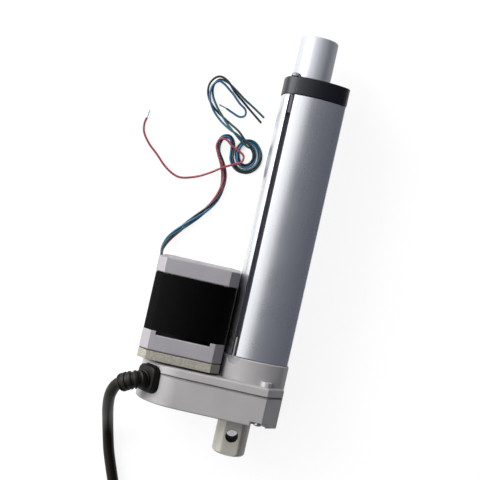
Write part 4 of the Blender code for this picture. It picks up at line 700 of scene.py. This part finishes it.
stack_low, stack_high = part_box("motor_stator")
stack_middle = (stack_low + stack_high) / 2
half = (stack_high.x - stack_low.x) / 2
flat = half - MOTOR_CORNER
cut_corners = [(half, -flat), (half, flat), (flat, half), (-flat, half)]
cut_corners += [(-x, -z) for x, z in cut_corners]
notched = [(half, -EAR_START), (half, EAR_START), (EAR_START, EAR_START), (EAR_START, half),
           (-EAR_START, half), (-EAR_START, EAR_START)]
notched += [(-x, -z) for x, z in notched]
tie_holes = [(x * TIE_HOLE_PLACE, z * TIE_HOLE_PLACE, TIE_HOLE_RADIUS) for x in (1, -1) for z in (1, -1)]
bore = [(0, 0, STACK_BORE_RADIUS)]
pitch = (stack_high.y - stack_low.y) / SHEET_COUNT
sheet = flat_sheet("sheet", cut_corners, bore + tie_holes, pitch - SHEET_GAP, stack_middle)
notched_sheet = flat_sheet("notched_sheet", notched, bore, pitch - SHEET_GAP, stack_middle)
stack = run_tree(
    linked("motor_stack_sheets", bpy.data.meshes.new("motor_stack_sheets")), stack_tree(),
    sheet=sheet, notched_sheet=notched_sheet, sheets=SHEET_COUNT, notched=NOTCHED_SHEETS,
    first=(0, stack_low.y + pitch / 2, 0), step=(0, pitch, 0), look=black_lacquer())
bpy.data.objects.remove(sheet)
bpy.data.objects.remove(notched_sheet)
fit(stack, "black_lamination", "motor_stator")

dressed("motor_rear_cap", "motor_rear_casting", CAP_CASTING_EDGE, MOTOR_CASTING, "die_cast_aluminium")
screw_set("motor_tie_screws", [f"motor_tie_screw_{i}" for i in range(1, 5)], True, ZINC)
finish_nodes(STEEL, "motor_rotor", "motor_shaft", "motor_front_bearing", "motor_rear_bearing")
finish_nodes(enamelled_copper(), "motor_winding_front", "motor_winding_rear")


# Motor leads
# Four PVC-covered wires leave a block low on the motor's side, fall to the table in a loose twist,
# wind into a knot of two loops and spread to their ends. The red one leaves the others at the knot.
# Routes, steps and lengths along them are in millimetres, and turns in degrees.
WIRE_DIAMETER = 1.2 * MM
WIRE_STEP = 1.4   # between wires that touch in the twist
STACK_STEP = 1.7   # between wires as they leave the block
TWIST_PITCH = 62.0
TWIST_END = -30.0   # wire 0's turn at the end of the twist
FLAT_LENGTH = 16.0   # over which the wires gather or spread
SPREAD = 1.5
WIRE_SPACING = 0.9
CURVE_STEPS = 16
CORD_ROUNDNESS = 5
JOIN_POINTS = 3
TIP_LENGTH = 4.2
TIP_RADIUS = 0.4 * MM
TIP_SPACING = 0.25
TIP_OVERLAP = 2
OUTER_STRANDS = 6
STRAND_RADIUS = 0.17 * MM
STRAND_LAY = 5.0
STRAND_ROUNDNESS = 1
LEAD_EXIT_EDGE = 0.5 * MM
LOOP_POINTS = 24
LEAD_ROUTE = [
    (-57.3, 61.95, 9.0), (-57.5, 65.0, 8.9), (-57.9, 68.6, 6.8), (-57.0, 72.4, 4.3),
    (-54.9, 76.4, 2.6), (-51.4, 80.8, 1.85), (-47.4, 85.4, 1.75), (-43.0, 90.4, 1.75),
    (-38.6, 95.9, 1.75), (-35.4, 101.9, 1.75), (-33.9, 108.3, 1.75), (-34.3, 114.4, 1.75),
    (-36.4, 120.2, 1.75), (-39.2, 125.6, 1.75), (-40.9, 130.4, 1.75), (-39.7, 134.6, 1.75),
    (-36.2, 135.8, 1.75), (-33.6, 132.9, 1.75),
]
KNOT_CENTRE = (-25.0, 127.6)
KNOT_RADII = (7.6, 8.8)   # across and along the rod
KNOT_START = 180.0
KNOT_TURNS = 1.75
KNOT_STEP = 3.1
KNOT_STEP_TURNS = (0.6, 1.1)   # where the second loop moves inward
KNOT_RISE = 3.0
KNOT_RISE_TURNS = 0.4
RED_LEAVES = 12   # points of the route that the red wire shares
TAIL_ROUTE = [
    (-28.6, 135.6, 4.75), (-32.4, 138.4, 4.4), (-37.0, 141.2, 3.0), (-42.0, 144.8, 1.85),
    (-47.2, 149.4, 1.7), (-51.0, 155.2, 1.7), (-51.6, 161.2, 1.7), (-48.6, 165.4, 1.7),
    (-44.2, 164.6, 1.7), (-38.6, 160.4, 1.7),
]
BLACK_END = [(-33.4, 156.6, 1.3), (-28.2, 152.7, 0.7), (-20.8, 147.2, 0.7)]
GREEN_END = [(-32.4, 157.8, 0.8), (-27.2, 154.8, 0.7), (-19.9, 150.3, 0.7)]
BLUE_END = [
    (-34.6, 155.0, 0.8), (-30.9, 152.4, 0.7), (-30.4, 149.2, 0.7), (-33.2, 147.9, 0.7),
    (-37.2, 149.2, 0.7), (-41.2, 150.8, 0.7), (-45.4, 152.0, 0.7),
]
RED_ROUTE = [
    (-36.7, 119.2, 3.8), (-39.8, 124.9, 4.3), (-41.7, 129.4, 4.3), (-40.7, 133.2, 4.3),
    (-37.2, 133.8, 4.3), (-33.6, 131.2, 4.2), (-29.6, 129.4, 4.1), (-26.2, 127.2, 3.9),
    (-26.6, 123.6, 4.0), (-30.6, 121.4, 4.2), (-36.0, 118.4, 5.5), (-42.0, 114.4, 3.3),
    (-48.8, 110.9, 1.2), (-56.6, 108.6, 0.7), (-61.8, 109.5, 0.7), (-67.3, 112.9, 0.7),
    (-72.7, 118.0, 0.7), (-78.0, 122.6, 0.7), (-82.1, 128.0, 0.7), (-83.1, 132.9, 0.7),
    (-82.3, 137.4, 0.7), (-82.0, 140.8, 0.7),
]


def travel(points):
    """How far along a line each of its points is."""
    steps = np.linalg.norm(np.diff(points, axis=0), axis=1)
    return np.concatenate([[0], np.cumsum(steps)])


def smooth(points, spacing):
    """Even steps along a smooth curve through the given points."""
    points = np.array(points, float)
    padded = np.vstack([2 * points[0] - points[1], points, 2 * points[-1] - points[-2]])
    fine = []
    for a, b, c, d in zip(padded, padded[1:], padded[2:], padded[3:]):
        for t in np.linspace(0, 1, CURVE_STEPS, endpoint=False):
            fine.append(0.5 * (2 * b + (c - a) * t + (2 * a - 5 * b + 4 * c - d) * t ** 2
                               + (3 * b - a - 3 * c + d) * t ** 3))
    fine = np.array(fine + [points[-1]])
    gone = travel(fine)
    wanted = np.linspace(0, gone[-1], max(2, round(gone[-1] / spacing)) + 1)
    return np.column_stack([np.interp(wanted, gone, fine[:, i]) for i in range(3)])


def eased(values):
    """A smooth step from 0 to 1."""
    share = np.clip(values, 0, 1)
    return share ** 2 * (3 - 2 * share)


def units(rows):
    """Directions one unit long."""
    return rows / np.linalg.norm(rows, axis=1)[:, None]


def beside(points, across, above):
    """A line moved to its own left and up from it, by a distance for each point."""
    ahead = units(np.gradient(points, axis=0))
    left = units(np.cross([0, 0, 1], ahead))
    return points + left * across[:, None] + np.cross(ahead, left) * above[:, None]


def knot_turns():
    """Two loops of the leads, the second inside the first and rising at its end."""
    turns = np.linspace(0, KNOT_TURNS, round(LOOP_POINTS * KNOT_TURNS) + 1)
    angles = np.radians(KNOT_START + 360 * turns)
    start, end = KNOT_STEP_TURNS
    inward = KNOT_STEP * eased((turns - start) / (end - start))
    across = KNOT_CENTRE[0] + (KNOT_RADII[0] - inward) * np.cos(angles)
    along = KNOT_CENTRE[1] + (KNOT_RADII[1] - inward) * np.sin(angles)
    height = LEAD_ROUTE[-1][2] + KNOT_RISE * eased((turns - KNOT_TURNS + KNOT_RISE_TURNS) / KNOT_RISE_TURNS)
    return [tuple(p) for p in np.column_stack([across, along, height])]


def strand(shared, leave, number):
    """One of the twisted leads. Wires 1 to 3 share the whole way, and wire 0 leaves early: four wires
    touch at 90 degrees to each other about their middle, and the three that go on at 120."""
    gone = travel(shared)
    past_leave = eased((gone - leave) / FLAT_LENGTH - 0.5)
    turn = (np.maximum(gone - FLAT_LENGTH, 0) - gone[-1] + FLAT_LENGTH) / TWIST_PITCH * 360 + TWIST_END
    turn += number * (90 + 30 * past_leave)
    reach = WIRE_STEP * (math.sqrt(0.5) + past_leave * (math.sqrt(1 / 3) - math.sqrt(0.5)))
    tail = eased((gone - gone[-1] + TWIST_PITCH) / FLAT_LENGTH)
    wide = reach + (SPREAD - reach) * tail
    bundled = eased(gone / FLAT_LENGTH)
    across = wide * np.cos(np.radians(turn))
    above = reach * np.sin(np.radians(turn))
    first = [math.sin(math.radians(turn[0] + 90 * (i - number))) for i in range(4)]
    stacked = (np.argsort(np.argsort(first))[number] - 1.5) * STACK_STEP
    return beside(shared, across * bundled, stacked + (above - stacked) * bundled)


def cord_curve(name, lines, radius, look, roundness=CORD_ROUNDNESS):
    """Round cords along lines of points in millimetres, each of them one open spline."""
    curve = bpy.data.curves.new(name, "CURVE")
    curve.dimensions = "3D"
    curve.bevel_depth = radius
    curve.bevel_resolution = roundness
    curve.use_fill_caps = True
    for line in lines:
        spline = curve.splines.new("POLY")
        spline.points.add(len(line) - 1)
        for point, place in zip(spline.points, line):
            point.co = (*(c * MM for c in place), 1)
        spline.use_smooth = True
    curve.materials.append(look)
    return linked(name, curve)


def wire_sheath(name, dark, light):
    """Extruded PVC: an even colour with a soft gloss, paler where it was bent and handled."""
    made, tree, place = new_material(name, Roughness=0.38)
    handled = add_node(tree, "ShaderNodeTexNoise", {"Vector": place, "Scale": per(9.0), "Detail": 3.0})
    patterned(made, handled.outputs["Fac"], tones=(dark, light))
    return made


def tinned_tip(name, points):
    """The stripped end of a wire: tinned strands twisted round one along the middle."""
    points = smooth(points, TIP_SPACING)
    ahead = units(np.gradient(points, axis=0))
    side = units(np.cross(ahead, [0, 0, 1]))
    up = np.cross(side, ahead)
    lay = 2 * math.pi * travel(points) / STRAND_LAY
    reach = (TIP_RADIUS - STRAND_RADIUS) / MM
    lines = []
    for start in circle(OUTER_STRANDS):
        turn = lay + start
        lines.append(points + reach * (side * np.cos(turn)[:, None] + up * np.sin(turn)[:, None]))
    lines.append(points)
    tip = finished(cord_curve(name, lines, STRAND_RADIUS, TINNED, STRAND_ROUNDNESS))
    tip.data.shade_smooth()
    return tip


# Tin is a bright silver to the eye, a little grey where it has dulled.
TINNED = turned_steel("tinned_copper", ("#9b9a98", "#c2c0bc"), 0.4, 0.3)
EXIT_LOOK = moulded_plastic("lead_exit_plastic", "#1b1b1d", "#26262a", 0.5, 0.45)
dressed("motor_lead_exit", "motor_lead_block", LEAD_EXIT_EDGE, EXIT_LOOK, "black_plastic")

common = smooth(LEAD_ROUTE + knot_turns() + TAIL_ROUTE, WIRE_SPACING)
leave = travel(smooth(LEAD_ROUTE[:RED_LEAVES], WIRE_SPACING))[-1]
leads = [
    ("red", RED_ROUTE, wire_sheath("red_pvc", "#7c2733", "#ab4856"), True),
    ("black", BLACK_END, wire_sheath("black_pvc", "#0d0d0f", "#1a1a1d"), False),
    ("blue", BLUE_END, wire_sheath("blue_pvc", "#184a70", "#2a6c98"), True),
    ("green", GREEN_END, wire_sheath("green_pvc", "#0c3a3a", "#195557"), False),
]
for number, (name, end, look, stripped) in enumerate(leads):
    shared = strand(common, leave, number)
    if name == "red":
        shared = shared[travel(common) < leave]
    loose = smooth([tuple(p) for p in shared[-JOIN_POINTS:]] + end, WIRE_SPACING)
    line = np.vstack([shared[:-JOIN_POINTS], loose])
    gone = travel(line)
    covered = gone <= gone[-1] - (TIP_LENGTH if stripped else 0)
    sheath = cord_curve(f"motor_wire_{name}_sheath", [line[covered]], WIRE_DIAMETER / 2, look)
    fit(sheath, f"wire_{name}", f"motor_wire_{name}")
    tips = []
    if stripped:
        tips.append(tinned_tip(f"motor_wire_{name}_tip", line[np.count_nonzero(covered) - TIP_OVERLAP:]))
        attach(tips[0], "frame")


# Control cable
# A black PVC-sheathed cable leaves a rubber boot on the gearbox's rounded end, through a ribbed
# sleeve that bends with it. What the view doesn't take in is coiled and tied beside the clevis.
# Routes and their steps are in millimetres.
CABLE_DIAMETER = 6.0 * MM
CABLE_SPACING = 2.2
GROMMET_EDGE = 0.4 * MM
TIE_EDGE = 0.15 * MM
RIB_RADIUS = 4.7 * MM
NECK_RADIUS = 4.1 * MM
RIB_PITCH = 2.3 * MM
RIB_FLANK = 0.55   # of the wave's height, either side of its middle
SLEEVE_SPACING = 0.6
SLEEVE_STEPS = 121
SLEEVE_SIDES = 40
RELIEF_ROUTE = [
    (-50.25, 3.0, 38.65), (-52.2, 2.85, 40.6), (-55.0, 2.1, 41.5), (-57.9, 0.7, 40.9),
    (-60.3, -0.9, 39.2),
]
CABLE_ROUTE = [
    (-60.7, -1.15, 38.9), (-63.2, -3.0, 37.05), (-65.6, -9.4, 31.6), (-66.3, -18.0, 21.8),
    (-66.1, -26.4, 11.2), (-65.3, -33.6, 5.3), (-63.8, -40.6, 3.4), (-62.0, -46.8, 3.05),
    (-57.2, -59.6, 3.05), (-52.0, -72.2, 3.2), (-49.2, -80.6, 3.7), (-48.6, -86.0, 4.0),
]
COIL_CENTRE = (-9.0, -97.8)
COIL_STEP = 6.6   # between turns, and between layers
COIL_RADIUS = 39.6
COIL_LAYER_TURNS = 2
COIL_CLIMB_TURNS = 0.5
COIL_LOW = 4.0
COIL_STRAIGHT = 6.3


def coil_points():
    """The cable's coil: in on the lower layer, up in half a turn, and out on the upper one."""
    innermost = COIL_LAYER_TURNS + COIL_CLIMB_TURNS / 2
    points = [(COIL_CENTRE[0] - COIL_RADIUS, COIL_CENTRE[1] + COIL_STRAIGHT, COIL_LOW)]
    for turn in np.linspace(0, 2 * innermost, round(2 * innermost * LOOP_POINTS) + 1):
        radius = COIL_RADIUS - COIL_STEP * (innermost - abs(turn - innermost))
        angle = math.radians(180 + 360 * turn)
        points.append((
            COIL_CENTRE[0] + radius * math.cos(angle), COIL_CENTRE[1] + radius * math.sin(angle),
            COIL_LOW + COIL_STEP * eased((turn - COIL_LAYER_TURNS) / COIL_CLIMB_TURNS)))
    end = points[-1]
    points.append((end[0], end[1] + COIL_STRAIGHT, end[2]))
    return points


def ribbed_sleeve_tree():
    """Geometry nodes: a tube along a route whose radius swells at even steps into ribs."""
    tree, given = new_tree(
        "ribbed_sleeve", "Sleeve", Route="Geometry", Neck_Radius="Float", Rib_Height="Float",
        Rib_Pitch="Float", Look="Material")
    route = add_node(tree, "GeometryNodeResampleCurve", {"Curve": given["Route"], "Count": SLEEVE_STEPS})
    along = add_node(tree, "GeometryNodeSplineParameter")
    ribs = add_node(tree, "ShaderNodeMath", {
        0: along.outputs["Length"], 1: given["Rib Pitch"]}, operation="DIVIDE")
    phase = add_node(tree, "ShaderNodeMath", {0: ribs.outputs[0], 1: 2 * math.pi}, operation="MULTIPLY")
    wave = add_node(tree, "ShaderNodeMath", {0: phase.outputs[0]}, operation="COSINE")
    soft = add_node(tree, "ShaderNodeMapRange", {
        "Value": wave.outputs[0], "From Min": -RIB_FLANK, "From Max": RIB_FLANK},
        interpolation_type="SMOOTHSTEP")
    height = add_node(tree, "ShaderNodeMath", {
        0: soft.outputs[0], 1: given["Rib Height"], 2: given["Neck Radius"]}, operation="MULTIPLY_ADD")
    ring = add_node(tree, "GeometryNodeCurvePrimitiveCircle", {"Resolution": SLEEVE_SIDES, "Radius": 1.0})
    tube = add_node(tree, "GeometryNodeCurveToMesh", {
        "Curve": route.outputs[0], "Profile Curve": ring.outputs[0], "Scale": height.outputs[0],
        "Fill Caps": True})
    shaded = add_node(tree, "GeometryNodeSetShadeSmooth", {"Geometry": tube.outputs[0]})
    return closed_tree(tree, shaded.outputs[0], given["Look"])


# Both are near black and slightly warm. The boot's rubber is duller than the cable's PVC.
BOOT_LOOK = moulded_plastic("boot_rubber", "#0f0c09", "#17130e", 0.6, 0.5, 0.25)
SHEATH_LOOK = moulded_plastic("cable_pvc", "#0f0c08", "#18140e", 1.2, 0.42, 0.2)
dressed("cable_grommet", "cable_boot", GROMMET_EDGE, BOOT_LOOK, "black_plastic")

sleeve_route = cord_curve("cable_ribbed_sleeve", [smooth(RELIEF_ROUTE, SLEEVE_SPACING)], 0, BOOT_LOOK)
sleeve = run_tree(
    sleeve_route, ribbed_sleeve_tree(), neck_radius=NECK_RADIUS, rib_height=RIB_RADIUS - NECK_RADIUS,
    rib_pitch=RIB_PITCH, look=BOOT_LOOK)
fit(sleeve, "black_plastic", "cable_strain_relief")

tie = dressed("cable_tie", "cable_tie_strap", TIE_EDGE, BOOT_LOOK, "black_plastic")
cable_line = smooth(CABLE_ROUTE + coil_points(), CABLE_SPACING)
cable = cord_curve("control_cable_sheath", [cable_line], CABLE_DIAMETER / 2, SHEATH_LOOK)
fit(cable, "cable_sheath", "control_cable", "control_cable_coil")


# Studio
# A white table that keeps the soft shadows, daylight that is strong from the upper left and weak
# from the right, and a camera straight above, turned a little against the rod.
FLOOR_HALF = 25.0
FLOOR_GLOW = 0.88
FLOOR_TONE = "#747474"
DIM_PLACE = (0.8 * MM, -22.0 * MM, 0.0)
DIM_RADII = (0.5 * MM, 8.0 * MM)
DIM_SHARE = 0.42
GAP_REACH = 60.0 * MM
GAP_SHARES = (0.04, 0.25)   # of open sky, from dim to clear
SKY_SIDE = Vector((-0.88, 0.47, 0.0))
SKY_EDGES = (0.02, 0.3)   # of the lean to the bright side
SKY_BRIGHT = "#ffffff"
SKY_DARK = "#4f525c"
SKY_LEVEL = 1.2
LAMP_PLACE = Vector((-0.95, 0.5, 0.5))
LAMP_TARGET = Vector((-0.01, 0.08, 0.0))
LAMP_SIZE = 0.8
LAMP_POWER = 15.0
CAMERA_PLACE = (-18.06 * MM, 82.25 * MM, 490.0 * MM)
CAMERA_TURN = 12.7   # degrees
CAMERA_LENS = 67.1   # millimetres, as is the sensor
CAMERA_NEAR = 10.0 * MM
SENSOR_WIDTH = 36.0


def seen_share(tree):
    """One for rays from the camera and for those in gloss or glass, and nothing for the rest."""
    ray = add_node(tree, "ShaderNodeLightPath").outputs
    seen = add_node(tree, "ShaderNodeMath", {
        0: ray["Is Camera Ray"], 1: ray["Is Glossy Ray"]}, operation="MAXIMUM")
    return add_node(tree, "ShaderNodeMath", {
        0: seen.outputs[0], 1: ray["Is Transmission Ray"]}, operation="MAXIMUM").outputs[0]


def white_table():
    """Matt laminate that glows to the eye, so that it reads as white and still takes shadows. Painted shadow
    dims its glow in narrow gaps, and its colour and glow in a soft spot under the clevis that shows through
    the pin hole."""
    made = bpy.data.materials.new("white_table")
    made.use_nodes = True
    tree = made.node_tree
    tree.nodes.clear()
    place = add_node(tree, "ShaderNodeTexCoord").outputs["Object"]
    apart = add_node(tree, "ShaderNodeVectorMath", {0: place, 1: DIM_PLACE}, operation="DISTANCE")
    lit = add_node(tree, "ShaderNodeMapRange", {
        "Value": apart.outputs["Value"], "From Min": DIM_RADII[0], "From Max": DIM_RADII[1],
        "To Min": DIM_SHARE, "To Max": 1.0}, interpolation_type="SMOOTHSTEP")
    tone = add_node(tree, "ShaderNodeMix", {
        0: lit.outputs[0], 6: colour("#000000"), 7: colour(FLOOR_TONE)}, data_type="RGBA")
    matt = add_node(tree, "ShaderNodeBsdfDiffuse", {"Color": tone.outputs[2]})
    open_share = add_node(tree, "ShaderNodeAmbientOcclusion", {"Distance": GAP_REACH})
    clear = add_node(tree, "ShaderNodeMapRange", {
        "Value": open_share.outputs["AO"], "From Min": GAP_SHARES[0], "From Max": GAP_SHARES[1]})
    spot = add_node(tree, "ShaderNodeMath", {0: clear.outputs[0], 1: lit.outputs[0]}, operation="MULTIPLY")
    seen = add_node(tree, "ShaderNodeMath", {0: seen_share(tree), 1: FLOOR_GLOW}, operation="MULTIPLY")
    strength = add_node(tree, "ShaderNodeMath", {
        0: seen.outputs[0], 1: spot.outputs[0]}, operation="MULTIPLY")
    glow = add_node(tree, "ShaderNodeEmission", {"Strength": strength.outputs[0]})
    both = add_node(tree, "ShaderNodeAddShader", {0: matt.outputs[0], 1: glow.outputs[0]})
    add_node(tree, "ShaderNodeOutputMaterial", {"Surface": both.outputs[0]})
    return made


floor_mesh = bpy.data.meshes.new("table")
corners = [(-1, -1, 0), (1, -1, 0), (1, 1, 0), (-1, 1, 0)]
floor_mesh.from_pydata([tuple(c * FLOOR_HALF for c in corner) for corner in corners], [], [(0, 1, 2, 3)])
floor_mesh.materials.append(white_table())
linked("table", floor_mesh)

world = bpy.data.worlds.new("daylight")
scene.world = world
world.use_nodes = True
sky = world.node_tree
sky.nodes.clear()
direction = add_node(sky, "ShaderNodeTexCoord").outputs["Generated"]
lean = add_node(sky, "ShaderNodeVectorMath", {0: direction, 1: SKY_SIDE}, operation="DOT_PRODUCT")
share = add_node(sky, "ShaderNodeMapRange", {
    "Value": lean.outputs["Value"], "From Min": SKY_EDGES[0], "From Max": SKY_EDGES[1]},
    interpolation_type="SMOOTHSTEP")
tint = add_node(sky, "ShaderNodeMix", {
    0: share.outputs[0], 6: colour(SKY_DARK), 7: colour(SKY_BRIGHT)}, data_type="RGBA")
light = add_node(sky, "ShaderNodeBackground", {"Color": tint.outputs[2], "Strength": SKY_LEVEL})
add_node(sky, "ShaderNodeOutputWorld", {"Surface": light.outputs[0]})

lamp_data = bpy.data.lights.new("window", "AREA")
lamp_data.energy = LAMP_POWER
lamp_data.size = LAMP_SIZE
lamp = linked("window", lamp_data)
lamp.location = LAMP_PLACE
lamp.rotation_euler = (LAMP_TARGET - LAMP_PLACE).to_track_quat("-Z", "Y").to_euler()

camera_data = bpy.data.cameras.new("camera")
camera_data.sensor_width = SENSOR_WIDTH
camera_data.lens = CAMERA_LENS
camera_data.clip_start = CAMERA_NEAR
camera = linked("camera", camera_data)
camera.location = CAMERA_PLACE
camera.rotation_euler = (0, 0, math.radians(CAMERA_TURN))
scene.camera = camera
scene.view_settings.view_transform = "Standard"
